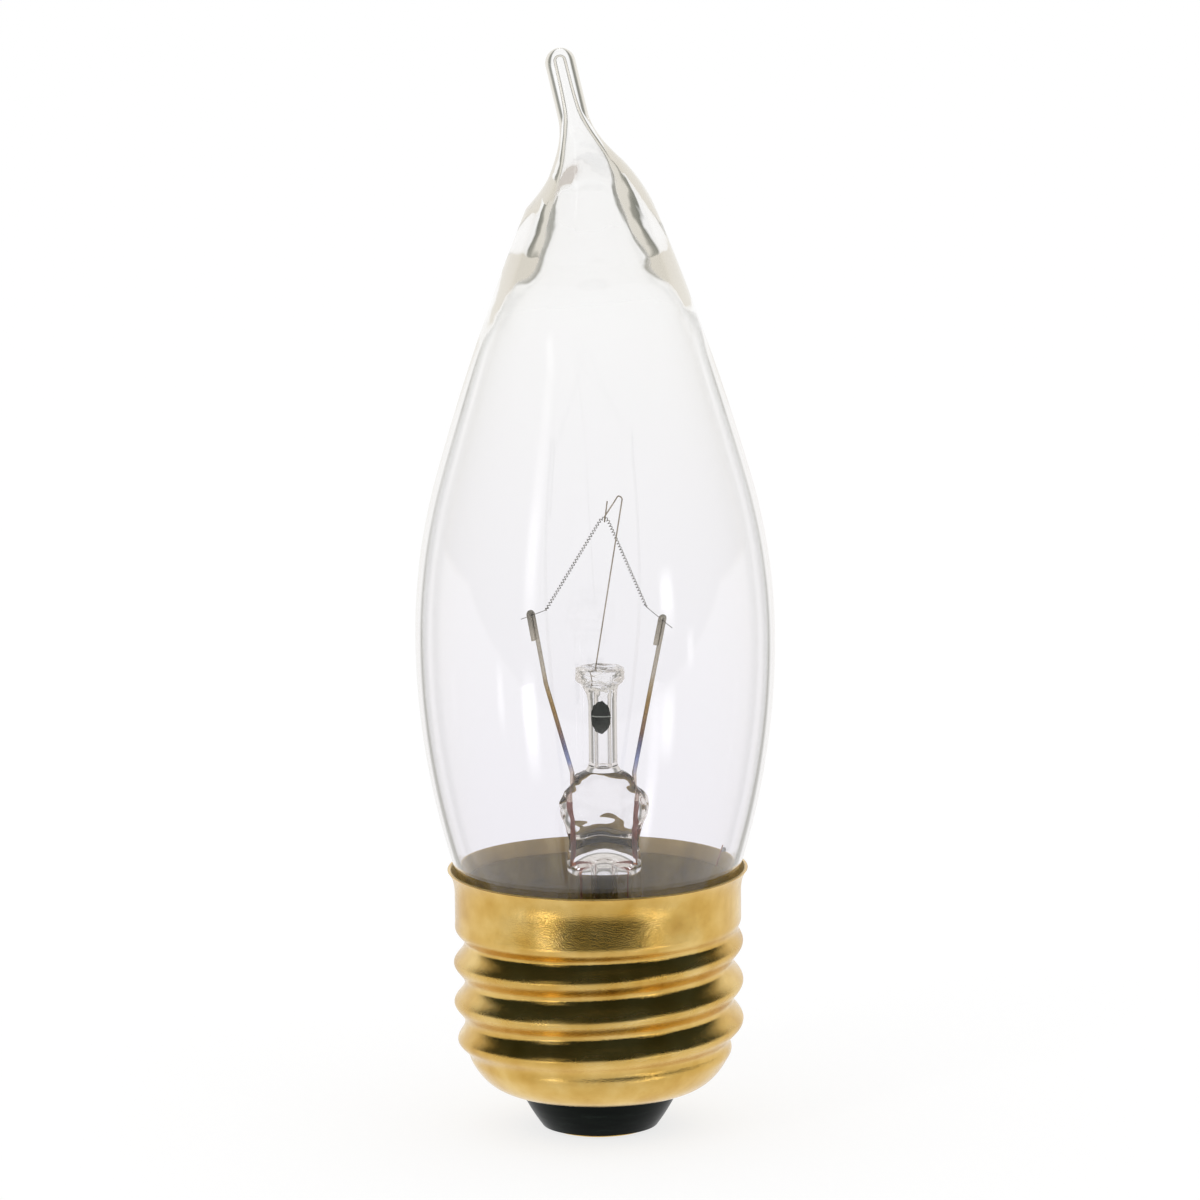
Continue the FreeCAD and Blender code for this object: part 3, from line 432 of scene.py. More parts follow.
def blown_soda_lime_glass(tint):
    # Soda-lime glass, blown and flame-drawn: colourless, with painted shade that makes it a little darker and
    # faintly lavender towards the cap
    return clear_glass("Soda-lime glass, blown", tint, 1.5, 0.12, 16.0)


def pressed_lead_glass():
    # Lead-alkali stem glass, flame-worked: brighter edges than the bulb, from its higher index
    return clear_glass("Lead-alkali glass, flame-worked", ("#FEFEFE",), 1.53, 0.4, 15.0)


def drawn_nickel():
    # Nickel-plated iron wire, drawn: grey and bright along its middle, with brown and blue heat tint low
    # down, and painted shade that darkens it towards the hooks at the top
    material, tree, out = new_material("Nickel-plated wire, heat-tinted, shade painted at top")
    where, height = object_height(tree)
    drift = add_node(tree, "ShaderNodeTexNoise", None, {
        "Vector": where, "Scale": 1 / (1.4286 * MM), "Detail": 3.0,
    })
    shifted = add_node(tree, "ShaderNodeMath", {"operation": "MULTIPLY_ADD"}, {
        0: drift.outputs["Fac"], 1: 2 * MM, 2: height,
    })
    share = add_node(tree, "ShaderNodeMapRange", None, {
        "Value": shifted.outputs[0], "From Min": 30 * MM, "From Max": 49 * MM,
    })
    # The heat tint is the wire's own colour; the last step, dark grey by the hooks at the top, is painted
    # shade
    colour = add_node(tree, "ShaderNodeValToRGB", None, {"Fac": share.outputs[0]}, [
        (0.0, "#B89A92"), (0.18, "#DCD0C8"), (0.26, "#8E9AC4"), (0.33, "#686A8A"), (0.4, "#7A6050"),
        (0.5, "#94784C"), (0.6, "#A8926A"), (0.68, "#C2BCB0"), (0.86, "#B5B0A6"), (1.0, "#6A665E"),
    ])
    metal = add_node(tree, "ShaderNodeBsdfPrincipled", None, {
        "Base Color": colour.outputs["Color"], "Metallic": 1.0, "Roughness": 0.16,
    })
    tree.links.new(metal.outputs[0], out.inputs["Surface"])
    return material


def plain_wire(name, dark, light, roughness, spot):
    """A metal wire whose tone changes faintly from spot to spot, whose size is in millimetres."""
    material, tree, out = new_material(name)
    where, _ = object_height(tree)
    metal = add_node(tree, "ShaderNodeBsdfPrincipled", None, {
        "Base Color": mottled(tree, where, spot, 2.0, [(0.3, dark), (0.7, light)]),
        "Metallic": 1.0, "Roughness": roughness,
    })
    tree.links.new(metal.outputs[0], out.inputs["Surface"])
    return material


def drawn_tungsten():
    # Tungsten, drawn and coiled: dull dark grey
    return plain_wire("Tungsten, coiled", "#4E4A44", "#8A847A", 0.4, 0.8)


def drawn_molybdenum():
    # Molybdenum, drawn: a thin mid-grey wire
    return plain_wire("Molybdenum, drawn", "#948A7D", "#B3AA9D", 0.3, 2.0)


def copper_clad():
    # Copper-clad sealing wire, borated: brick red where it is wetted by the glass
    return plain_wire("Copper-clad wire, borated", "#8E5B55", "#A8736C", 0.45, 1.5)


def bare_copper():
    # Copper, drawn: salmon pink wire
    return plain_wire("Copper, drawn", "#A8654A", "#C07C5C", 0.35, 2.0)


def tin_solder():
    # Tin-lead solder, melted: soft grey with a slightly frosted skin
    return plain_wire("Solder, melted", "#9A9A9C", "#B4B4B6", 0.35, 0.6)


def getter_coat():
    # Zirconium-aluminium getter, brushed on: matt green-black grains with a fine scratch across. The grains
    # are drawn coarser than the real powder, which is too fine to show.
    material, tree, out = new_material("Getter, brushed on")
    where, height = object_height(tree)
    grain = mottled(tree, where, 0.11111, 3.0, [(0.35, "#0E1311"), (0.56, "#1C2320"), (0.72, "#626A65")])
    on_scratch = add_node(tree, "ShaderNodeMath", {"operation": "COMPARE"}, {
        0: height, 1: 38.17 * MM, 2: 0.04 * MM,
    })
    scratch = add_node(tree, "ShaderNodeMix", {"data_type": "RGBA"}, {
        "Factor": on_scratch.outputs[0], 6: grain, 7: linear("#A9AFA8"),
    })
    coat = add_node(tree, "ShaderNodeBsdfPrincipled", None, {
        "Base Color": scratch.outputs[2], "Roughness": 0.75, "Specular IOR Level": 0.05,
    })
    tree.links.new(coat.outputs[0], out.inputs["Surface"])
    return material


def rolled_brass(name, clean, cap):
    # Brass sheet, rolled and bright-dipped: gold with faint orange peel, handling smudges and rubbed crests.
    # The peel is drawn coarser than the real one, which is too fine to show.
    material, tree, out = new_material(name)
    where, height = object_height(tree)
    tone = mottled(tree, where, 3.84615, 5.0, [(0.3, "#CAA04C"), (0.5, "#D9B363"), (0.72, "#E6C67E")])
    smudge = add_node(tree, "ShaderNodeTexNoise", None, {
        "Vector": where, "Scale": 1 / (2 * MM), "Detail": 4.0,
    })
    handled = add_node(tree, "ShaderNodeMapRange", None, {
        "Value": smudge.outputs["Fac"], "From Min": 0.3, "From Max": 0.75,
        "To Min": clean, "To Max": clean + 0.1,
    })
    flat = add_node(tree, "ShaderNodeVectorMath", {"operation": "MULTIPLY"}, {0: where, 1: (1.0, 1.0, 0.0)})
    reach = add_node(tree, "ShaderNodeVectorMath", {"operation": "LENGTH"}, {0: flat.outputs[0]})
    rubbed = add_node(tree, "ShaderNodeMapRange", None, {
        "Value": reach.outputs["Value"],
        "From Min": cap.crest_radius - 0.6 * MM, "From Max": cap.crest_radius, "To Min": 0.0, "To Max": 0.14,
    })
    skirt_foot = cap.thread_top + 0.1 * MM
    skirt = add_node(tree, "ShaderNodeMapRange", None, {
        "Value": height, "From Min": skirt_foot, "From Max": skirt_foot + cap.fade_top,
        "To Min": 1.0, "To Max": 0.3,
    })
    rough = add_node(tree, "ShaderNodeMath", {"operation": "MULTIPLY_ADD"}, {
        0: rubbed.outputs[0], 1: skirt.outputs[0], 2: handled.outputs[0],
    })
    peel = add_node(tree, "ShaderNodeTexNoise", None, {
        "Vector": where, "Scale": 1 / (0.090909 * MM), "Detail": 1.0,
    })
    bump = add_node(tree, "ShaderNodeBump", None, {
        "Strength": 1.0, "Distance": 0.016 * MM, "Height": peel.outputs["Fac"],
    })
    metal = add_node(tree, "ShaderNodeBsdfPrincipled", None, {
        "Base Color": tone, "Metallic": 1.0, "Roughness": rough.outputs[0], "Normal": bump.outputs[0],
    })
    tree.links.new(metal.outputs[0], out.inputs["Surface"])
    return material


def stained_brass():
    # Brass sheet, baked with the cement: dull olive gold on its inner face
    material, tree, out = new_material("Brass sheet, stained in baking")
    where, _ = object_height(tree)
    tone = mottled(tree, where, 3.33333, 5.0, [(0.3, "#96803F"), (0.55, "#B59A52"), (0.78, "#D0B672")])
    metal = add_node(tree, "ShaderNodeBsdfPrincipled", None, {
        "Base Color": tone, "Metallic": 0.4, "Roughness": 0.35,
    })
    tree.links.new(metal.outputs[0], out.inputs["Surface"])
    return material


def black_vitrite():
    # Vitrite, a black slag glass, moulded: near black with a soft gloss and faint flow streaks
    material, tree, out = new_material("Vitrite, moulded")
    where, _ = object_height(tree)
    squeezed = add_node(tree, "ShaderNodeMapping", None, {"Vector": where, "Scale": (1.0, 1.0, 5.0)})
    flow = add_node(tree, "ShaderNodeTexNoise", None, {
        "Vector": squeezed.outputs[0], "Scale": 1 / (2.85714 * MM), "Detail": 4.0,
    })
    tone = add_node(tree, "ShaderNodeValToRGB", None, {"Fac": flow.outputs["Fac"]}, [
        (0.35, "#0C110F"), (0.6, "#131916"), (0.8, "#2A332E"),
    ])
    bump = add_node(tree, "ShaderNodeBump", None, {
        "Strength": 0.25, "Distance": 0.05 * MM, "Height": flow.outputs["Fac"],
    })
    glass = add_node(tree, "ShaderNodeBsdfPrincipled", None, {
        "Base Color": tone.outputs["Color"], "Roughness": 0.3, "Specular IOR Level": 0.06,
        "Normal": bump.outputs[0],
    })
    tree.links.new(glass.outputs[0], out.inputs["Surface"])
    return material


def resin_cement():
    # Basing cement, phenolic resin with marble flour, baked: matt olive brown, mottled
    material, tree, out = new_material("Basing cement, baked")
    where, _ = object_height(tree)
    tone = mottled(tree, where, 3.125, 5.0, [(0.3, "#6E5C1E"), (0.52, "#8E782C"), (0.75, "#B09A4C")])
    paste = add_node(tree, "ShaderNodeBsdfPrincipled", None, {
        "Base Color": tone, "Roughness": 0.8, "Specular IOR Level": 0.0,
    })
    tree.links.new(paste.outputs[0], out.inputs["Surface"])
    return material


def dress(node, material):
    """Gives a CAD node its material."""
    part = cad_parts[node]
    part.data.materials.clear()
    part.data.materials.append(material)
    part.data.polygons.foreach_set("material_index", [0] * len(part.data.polygons))


# Glass envelope


def bulb_radius(g, z):
    """Outer radius of the revolved glass at a height."""
    rise = g.widest - g.mouth_height
    swell = g.radius - g.mouth_radius
    bowl = (rise**2 + swell**2) / (2 * swell)
    bowl_x = g.radius - bowl
    lean = math.asin(rise / bowl)
    knuckle_x = bowl_x + (bowl - g.knuckle) * math.cos(lean)
    knuckle_z = g.widest - (bowl - g.knuckle) * math.sin(lean)
    fillet_x = g.neck_radius + g.neck_fillet
    fillet_z = knuckle_z - math.sqrt((g.knuckle + g.neck_fillet) ** 2 - (fillet_x - knuckle_x) ** 2)
    touch_z = knuckle_z + (fillet_z - knuckle_z) * g.knuckle / (g.knuckle + g.neck_fillet)
    if z <= fillet_z:
        return g.neck_radius
    if z <= touch_z:
        return fillet_x - math.sqrt(g.neck_fillet**2 - (z - fillet_z) ** 2)
    if z <= g.mouth_height:
        return knuckle_x + math.sqrt(g.knuckle**2 - (knuckle_z - z) ** 2)
    if z <= g.widest:
        return bowl_x + math.sqrt(bowl**2 - (g.widest - z) ** 2)
    ogive_x = g.radius - g.ogive_radius
    if z <= g.ogive_top:
        return ogive_x + math.sqrt(g.ogive_radius**2 - (z - g.widest) ** 2)
    lift = math.asin((g.ogive_top - g.widest) / g.ogive_radius)
    turn_x = ogive_x + g.ogive_radius * math.cos(lift)
    span = math.hypot(g.shoulder_radius - turn_x, g.shoulder_height - g.ogive_top)
    chord = math.atan2(g.shoulder_height - g.ogive_top, g.shoulder_radius - turn_x) - (lift + math.pi / 2)
    last = span / (2 * math.sin(chord))
    last_x = turn_x - last * math.cos(lift)
    last_z = g.ogive_top - last * math.sin(lift)
    return last_x + math.sqrt(last**2 - (z - last_z) ** 2)


def tip_station(g, run):
    """Centre and tilt of the tip's centreline at a length from the shoulder."""
    bent = min(run, g.tip_bend)
    straight = max(run - g.tip_bend, 0.0)
    angle = g.tip_lean * bent / g.tip_bend
    bow = g.tip_bend / g.tip_lean
    x = -bow * (1 - math.cos(angle)) - straight * math.sin(g.tip_lean)
    z = g.shoulder_height + bow * math.sin(angle) + straight * math.cos(g.tip_lean)
    return Vector((x, 0, z)), angle


# How fast the radius falls along the centreline where the shoulder passes into the tip
SHOULDER_SLOPE = 0.56


def tip_outer(g, run):
    """Outer radius of the tip: from the shoulder with its slope to the drawn tube."""
    t = min(run / g.tip_taper, 1.0)
    fall = 2 * t**3 - 3 * t**2 + 1
    ease = t**3 - 2 * t**2 + t
    return g.tip_radius + (g.shoulder_radius - g.tip_radius) * fall - SHOULDER_SLOPE * g.tip_taper * ease


# Radius of the cavity in millimetres against the length along the centreline, whose zero is the shoulder
CAVITY = [
    (-18.0, 11.67), (-14.0, 10.47), (-12.0, 9.86), (-10.5, 9.4), (-8.5, 8.6), (-6.3, 7.35), (-4.0, 5.5),
    (-1.8, 4.15), (0.2, 3.36), (2.2, 2.68), (4.3, 1.95), (6.0, 1.35), (7.4, 0.9), (9.0, 0.56), (11.0, 0.45),
    (13.0, 0.42),
]


def drawn_ripple(turn, along):
    """Unevenness of the cavity in the drawn glass: broad waves and fine draw lines, in metres."""
    c, n, h = math.cos(turn), math.sin(turn), along / MM
    broad = noise.noise(Vector((c * 1.3 + 3.1, n * 1.3 + 0.7, h * 0.21))) * 0.3
    mid = noise.noise(Vector((c * 4.5, n * 4.5, h * 0.8))) * 0.018
    fine = noise.noise(Vector((c * 9.0, n * 9.0, h * 3.4))) * 0.003
    return (broad + mid + fine) * MM * smooth(-14.0, -8.0, h) * (1 - smooth(1.0, 8.0, h))


def ring_at(centre, angle, radius_at, columns):
    """Points round a tilted circle. The radius may change round it."""
    across = Vector((math.cos(angle), 0, math.sin(angle)))
    points = []
    for j in range(columns):
        turn = 2 * math.pi * j / columns
        r = radius_at(turn)
        points.append(centre + across * r * math.cos(turn) + Vector((0, r * math.sin(turn), 0)))
    return points


# Gap between the neck and what holds it, and distances between the rings of the glass
NECK_GAP = 0.02 * MM
FINE_STEP = 0.4 * MM
COARSE_STEP = 0.8 * MM
CAVITY_STEP = 0.12 * MM
BORE_STEP = 0.3 * MM


def revolved_heights(g):
    """Heights of the rings below the shoulder: fine by the cap and under the shoulder, coarse between."""
    heights = []
    z = g.neck_foot
    while z < g.shoulder_height - 1e-9:
        heights.append(z)
        z += FINE_STEP if z > 70 * MM or z < 26 * MM else COARSE_STEP
    return heights + [g.shoulder_height]


def outer_rings(g):
    """Rings of the outer face, from the neck to the top of the tip."""
    rings = []
    for z in revolved_heights(g):
        inside = 1 - smooth(g.mouth_height - 0.1 * MM, g.mouth_height + 0.3 * MM, z)
        radius = bulb_radius(g, z) - NECK_GAP * inside
        rings.append(ring_at(Vector((0, 0, z)), 0.0, lambda turn: radius, g.columns))
    reach = g.tip_length - g.tip_radius
    steps = 44
    for i in range(1, steps + 1):
        centre, angle = tip_station(g, reach * i / steps)
        radius = tip_outer(g, reach * i / steps)
        rings.append(ring_at(centre, angle, lambda turn: radius, g.columns))
    along = Vector((-math.sin(angle), 0, math.cos(angle)))
    for width, rise in dome(12):
        middle = centre + along * g.tip_radius * rise
        rings.append(ring_at(middle, angle, lambda turn: g.tip_radius * width, g.columns))
    return rings


def inner_rings(g):
    """Rings of the inner face: an even wall, then the cavity in the thick glass up to its rounded end."""
    rings = []
    for z in revolved_heights(g):
        if z < g.shoulder_height + CAVITY[0][0] * MM:
            slope = (bulb_radius(g, z + 1e-5) - bulb_radius(g, z - 1e-5)) / 2e-5
            radius = bulb_radius(g, z) - g.wall * math.hypot(1, slope)
            rings.append(ring_at(Vector((0, 0, z)), 0.0, lambda turn: radius, g.columns))
    bore = g.tip_length - 0.8 * MM - CAVITY[-1][1] * MM
    run = CAVITY[0][0] * MM
    while run < bore:
        centre, angle = (Vector((0, 0, g.shoulder_height + run)), 0.0) if run < 0 else tip_station(g, run)
        radius = through(CAVITY, run / MM) * MM
        rings.append(ring_at(centre, angle, lambda turn: radius + drawn_ripple(turn, run), g.columns))
        run += CAVITY_STEP if run < 5 * MM else BORE_STEP
    centre, angle = tip_station(g, bore)
    along = Vector((-math.sin(angle), 0, math.cos(angle)))
    end = CAVITY[-1][1] * MM
    for width, rise in dome(8):
        rings.append(ring_at(centre + along * end * rise, angle, lambda turn: end * width, g.columns))
    return rings


class CANDLE_OT_envelope(bpy.types.Operator):
    """Builds the blown bulb with its thick drawn shoulder and bent tip"""

    bl_idname = "candle_lamp.envelope"
    bl_label = "Glass envelope"

    def execute(self, context):
        g = context.scene.candle_lamp.glass
        glass = blown_soda_lime_glass((g.low_tint_and_shade, g.high_tint))
        envelope = mesh_piece("Envelope", *hollow_body(outer_rings(g), inner_rings(g)), glass)
        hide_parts("glass_envelope")
        return {"FINISHED"}


# Stem: flare, tube and press

# Share of the press's height, of its half width, and half depth in millimetres
PRESS_SECTIONS = [
    (-0.02, 0.853, 3.34), (0.06, 0.835, 3.05), (0.14, 0.81, 2.65), (0.2, 0.812, 2.3), (0.27, 0.842, 2.0),
    (0.39, 0.918, 1.8), (0.48, 0.977, 1.72), (0.58, 1.0, 1.7), (0.65, 0.985, 1.7), (0.7, 0.955, 1.69),
    (0.75, 0.905, 1.68), (0.79, 0.82, 1.66), (0.83, 0.75, 1.64), (0.87, 0.71, 1.6), (0.91, 0.675, 1.54),
    (0.945, 0.61, 1.46), (0.97, 0.52, 1.38), (0.99, 0.4, 1.32),
]


def press_ring(centre, half_width, half_depth, power, columns, bump=0.0):
    """Points round a flattened section: a superellipse, with a slight swelling where bump is set."""
    points = []
    for j in range(columns):
        turn = 2 * math.pi * j / columns
        c, s = math.cos(turn), math.sin(turn)
        size = (abs(c) ** power + abs(s) ** power) ** (-1 / power)
        swell = 1 + bump * noise.noise(Vector((c * 2.2, s * 2.2, centre.z / MM * 0.9)))
        points.append(centre + Vector((half_width * size * c * swell, half_depth * size * s * swell, 0)))
    return points


class CANDLE_OT_stem(bpy.types.Operator):
    """Builds the flare, tube and flat press of the glass stem"""

    bl_idname = "candle_lamp.stem"
    bl_label = "Glass stem"

    def execute(self, context):
        g = context.scene.candle_lamp.glass
        s = context.scene.candle_lamp.stem
        columns = 96
        flare_height = 8 * MM
        flare_radius = g.neck_radius - g.wall - 0.03 * MM
        ring_step = 0.3 * MM
        bore = s.tube_radius - s.tube_wall
        outer, inner = [], []
        for i in range(25):
            share = (i / 24) ** 1.5
            left = (1 - share) ** 2
            radius = s.tube_radius + (flare_radius - s.tube_radius) * left
            centre = Vector((s.offset * (1 - left), 0, g.neck_foot + flare_height * share))
            outer.append(press_ring(centre, radius, radius, 2.0, columns))
            inner.append(press_ring(centre, radius - s.tube_wall, radius - s.tube_wall, 2.0, columns))
        z = g.neck_foot + flare_height
        while z < s.press_foot - 0.4 * MM:
            z += ring_step
            outer.append(press_ring(Vector((s.offset, 0, z)), s.tube_radius, s.tube_radius, 2.0, columns))
        widths = [(share, width * s.press_half_width / MM) for share, width, _ in PRESS_SECTIONS]
        depths = [(share, depth) for share, _, depth in PRESS_SECTIONS]
        for i in range(60):
            share = 0.99 * i / 59
            centre = Vector((s.offset, 0, s.press_foot + (s.press_top - s.press_foot) * share))
            flat = 2.0 + 0.7 * smooth(0.1, 0.5, share) * (1 - smooth(0.85, 1.0, share))
            half_width = through(widths, share) * MM
            half_depth = through(depths, share) * MM
            bump = 0.08 * smooth(0.2, 0.5, share)
            outer.append(press_ring(centre, half_width, half_depth, flat, columns, bump))
        hollow_top = s.press_foot - 1.4 * MM
        z = g.neck_foot + flare_height
        while z < hollow_top - ring_step:
            z += ring_step
            inner.append(press_ring(Vector((s.offset, 0, z)), bore, bore, 2.0, columns))
        for width, rise in dome(12):
            centre = Vector((s.offset, 0, hollow_top + 1.6 * MM * rise))
            inner.append(press_ring(centre, bore * width, bore * width, 2.0, columns))
        stem = mesh_piece("StemPress", *hollow_body(outer, inner), pressed_lead_glass())
        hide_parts("stem_press")
        return {"FINISHED"}


# Radius and height of the arbor's outer face in millimetres above the press, up to the button
ARBOR_FOOT = [(1.62, -0.05), (1.5, 0.12), (1.36, 0.35), (1.3, 0.7)]
ARBOR_THROAT = [(1.3, -2.2), (1.34, -1.5), (1.46, -0.9), (1.66, -0.4), (1.95, -0.08), (2.14, 0.06)]
BUTTON_EDGE = [
    (2.22, 0.16), (2.25, 0.32), (2.22, 0.6), (2.25, 0.95), (2.18, 1.18),
    (1.95, 1.28), (1.5, 1.29), (1.1, 1.27), (0.6, 1.25), (0.2, 1.24),
]


class CANDLE_OT_arbor(bpy.types.Operator):
    """Builds the arbor tube with the lumpy button that holds the support wire"""

    bl_idname = "candle_lamp.arbor"
    bl_label = "Arbor and button"

    def execute(self, context):
        s = context.scene.candle_lamp.stem
        columns = 72
        foot = [(r, s.press_top / MM + z, 0.0) for r, z in ARBOR_FOOT]
        middle = [(s.arbor_radius / MM, z, 0.0) for z in (34.6, 36.0, 37.4, 38.6)]
        throat = [(r, s.button_height / MM + z, smooth(-2.2, 0, z)) for r, z in ARBOR_THROAT]
        edge = [(r, s.button_height / MM + z, 1.0) for r, z in BUTTON_EDGE]
        profile = [Vector(station) for station in foot + middle + throat + edge]
        rings = []
        for first, second in zip(profile, profile[1:]):
            rings += [first.lerp(second, k / 4) for k in range(4)]
        rings.append(profile[-1])
        made = []
        for radius, z, lump in rings:
            centre = Vector((s.offset - s.button_shift * lump, 0, z * MM))
            ring = []
            for j in range(columns):
                turn = 2 * math.pi * j / columns
                c, n = math.cos(turn), math.sin(turn)
                at = Vector((c * radius * 1.1, n * radius * 1.1, z * 1.3))
                dent = noise.noise(at) * 0.2 + noise.noise(at * 2.7) * 0.09
                r = radius * (1 + (dent - 0.06) * 0.5 * lump)
                up = noise.noise(at * 1.6 + Vector((5, 2, 0))) * 0.12 * lump
                ring.append(centre + Vector((c * r, n * r, min(up, 0.0))) * MM)
            made.append(ring)
        outer = rings_to_mesh(made, True, True)
        low, high = s.press_top, s.button_height - 0.5 * MM
        bore = []
        for i in range(24):
            centre = Vector((s.offset, 0, low + (high - low) * i / 23))
            bore.append(press_ring(centre, s.arbor_bore, s.arbor_bore, 2.0, 40))
        for width, rise in dome(6):
            centre = Vector((s.offset, 0, high + s.arbor_bore * rise))
            bore.append(press_ring(centre, s.arbor_bore * width, s.arbor_bore * width, 2.0, 40))
        skins = joined([outer, inside_out(*rings_to_mesh(bore, True, True))])
        arbor = mesh_piece("Arbor", *skins, pressed_lead_glass())
        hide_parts("arbor")
        return {"FINISHED"}


class CANDLE_OT_getter(bpy.types.Operator):
    """Builds the dark oval dab on the front of the arbor"""

    bl_idname = "candle_lamp.getter"
    bl_label = "Getter dab"

    def execute(self, context):
        s = context.scene.candle_lamp.stem
        centre_x = s.offset - s.button_shift
        spokes, hoops = 72, 10
        layers = []
        for radius in (s.arbor_radius + s.getter_film, s.arbor_radius + 0.004 * MM):
            layer = []
            for h in range(hoops + 1):
                for j in range(spokes):
                    turn = 2 * math.pi * j / spokes
                    ragged = 1 + 0.08 * noise.noise(Vector((math.cos(turn) * 4, math.sin(turn) * 4, 4.0)))
                    share = h / hoops * ragged
                    x = centre_x + s.getter_width / 2 * share * math.cos(turn)
                    z = s.getter_height + s.getter_length / 2 * share * math.sin(turn)
                    across = min(max(x - s.offset, -radius * 0.97), radius * 0.97)
                    layer.append(Vector((s.offset + across, -math.sqrt(radius**2 - across**2), z)))
            layers.append(layer)
        faces = []
        back = (hoops + 1) * spokes
        for h in range(hoops):
            bridge((h + 1) * spokes, h * spokes, spokes, faces)
            bridge(back + h * spokes, back + (h + 1) * spokes, spokes, faces)
        bridge(back + hoops * spokes, hoops * spokes, spokes, faces)
        getter = mesh_piece("GetterDab", layers[0] + layers[1], faces, getter_coat())
        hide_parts("getter_patch")
        return {"FINISHED"}


class CANDLE_OT_filament(bpy.types.Operator):
    """Winds the coil along its V and adds the two tails"""

    bl_idname = "candle_lamp.filament"
    bl_label = "Filament"

    def execute(self, context):
        w = context.scene.candle_lamp.wires
        left, apex, right = Vector(w.left_end), Vector(w.apex), Vector(w.right_end)
        spine = rounded([left, apex, right], 0.45 * MM, w.coil_pitch / 14)
        helix = []
        travelled = 0.0
        last = spine[0]
        for point, side, other in frames_along(spine):
            travelled += (point - last).length
            last = point
            turn = 2 * math.pi * travelled / w.coil_pitch
            helix.append(point + (side * math.cos(turn) + other * math.sin(turn)) * w.coil_radius)
        parts = [tube(helix, w.coil_wire, 5)]
        for start, hook in ((left, Vector(w.left_hook)), (right, Vector(w.right_hook))):
            far = hook + (hook - start).normalized() * w.tail
            inside = start + (apex - start).normalized() * 0.3 * MM
            parts.append(tube(rounded([inside, start, far], 0.1 * MM, 0.2 * MM), w.tail_radius, 8))
        filament = mesh_piece("Filament", *joined(parts), drawn_tungsten())
        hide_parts("filament")
        return {"FINISHED"}


class CANDLE_OT_wires(bpy.types.Operator):
    """Gives the leads, support, seal wires and lead-outs their metals"""

    bl_idname = "candle_lamp.wires"
    bl_label = "Wires"

    def execute(self, context):
        nickel = drawn_nickel()
        dress("left_lead_wire", nickel)
        dress("right_lead_wire", nickel)
        dress("support_wire", drawn_molybdenum())
        clad = copper_clad()
        dress("left_seal_wire", clad)
        dress("right_seal_wire", clad)
        copper = bare_copper()
        dress("side_lead_out", copper)
        dress("centre_lead_out", copper)
        return {"FINISHED"}


# Screw shell


def shell_outline(c):
    """Base radius and height down the shell from its rim to the hole in the bottom."""
    middle = c.crest_radius - c.thread_depth / 2
    rows = []
    steps = 150
    for i in range(steps + 1):
        rows.append((middle, c.top - (c.top - c.bowl_top) * i / steps))
    turns = 36
    fullness = 0.8
    for i in range(1, turns + 1):
        turn = math.radians(5 + 83 * (i - 1) / (turns - 1))
        radius = c.hole_radius + (middle - c.hole_radius) * math.cos(turn) ** fullness
        rows.append((radius, c.bowl_top - (c.bowl_top - c.bowl_foot) * math.sin(turn) ** (1 / fullness)))
    return rows


def shell_radius(c, base, z, turn):
    """Outer radius of the shell: base circle, thread, skirt and flared lip."""
    skirt = smooth(c.thread_top, c.thread_top + c.fade_top, z)
    radius = base + (c.skirt_radius - base) * skirt
    lip = max(z - (c.top - c.lip_rise), 0.0) / c.lip_rise
    radius += c.lip_flare * lip**3
    rising = smooth(c.thread_foot - c.fade_foot, c.thread_foot, z)
    wave = c.thread_depth / 2 * rising * (1 - skirt)
    turns = (z - c.first_crest) / c.pitch - (turn / (2 * math.pi) - 0.5)
    return radius + wave * math.cos(2 * math.pi * turns)


class CANDLE_OT_shell(bpy.types.Operator):
    """Builds the rolled brass shell with its thread and flared lip"""

    bl_idname = "candle_lamp.shell"
    bl_label = "Screw shell"

    def execute(self, context):
        c = context.scene.candle_lamp.cap
        columns = c.columns
        rows = shell_outline(c)
        turns = [2 * math.pi * j / columns for j in range(columns)]
        radii = [[shell_radius(c, base, z, turn) for turn in turns] for base, z in rows]
        outer, inner = [], []
        last = len(rows) - 1
        for i, (_, z) in enumerate(rows):
            above, below = max(i - 1, 0), min(i + 1, last)
            drop = rows[below][1] - rows[above][1]
            out_ring, in_ring = [], []
            for j, turn in enumerate(turns):
                run = radii[below][j] - radii[above][j]
                length = math.hypot(run, drop)
                spoke = Vector((math.cos(turn), math.sin(turn), 0))
                out_ring.append(spoke * radii[i][j] + Vector((0, 0, z)))
                inset = spoke * (drop / length * c.wall) + Vector((0, 0, -run / length * c.wall))
                if i == 0:
                    inset = spoke * -c.wall
                in_ring.append(out_ring[-1] + inset)
            outer.append(out_ring)
            inner.append(in_ring)
        rim_round = 0.03 * MM
        rim = []
        for share in (0.25, 0.5, 0.75):
            lift = Vector((0, 0, rim_round * (math.sin(math.pi * share) - 1)))
            rim.append([b.lerp(a, share) + lift for a, b in zip(outer[0], inner[0])])
        for point in outer[0] + inner[0]:
            point.z -= rim_round
        rings = inner[::-1] + rim + outer
        points, faces = rings_to_mesh(rings)
        bridge((len(rings) - 1) * columns, 0, columns, faces)
        brass = rolled_brass("Brass sheet, rolled and bright-dipped", 0.1, c)
        shell = mesh_piece("ScrewShell", points, faces, brass)
        shell.data.materials.append(stained_brass())
        for face in shell.data.polygons[:last * columns]:
            face.material_index = 1
        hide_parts("screw_shell")
        return {"FINISHED"}


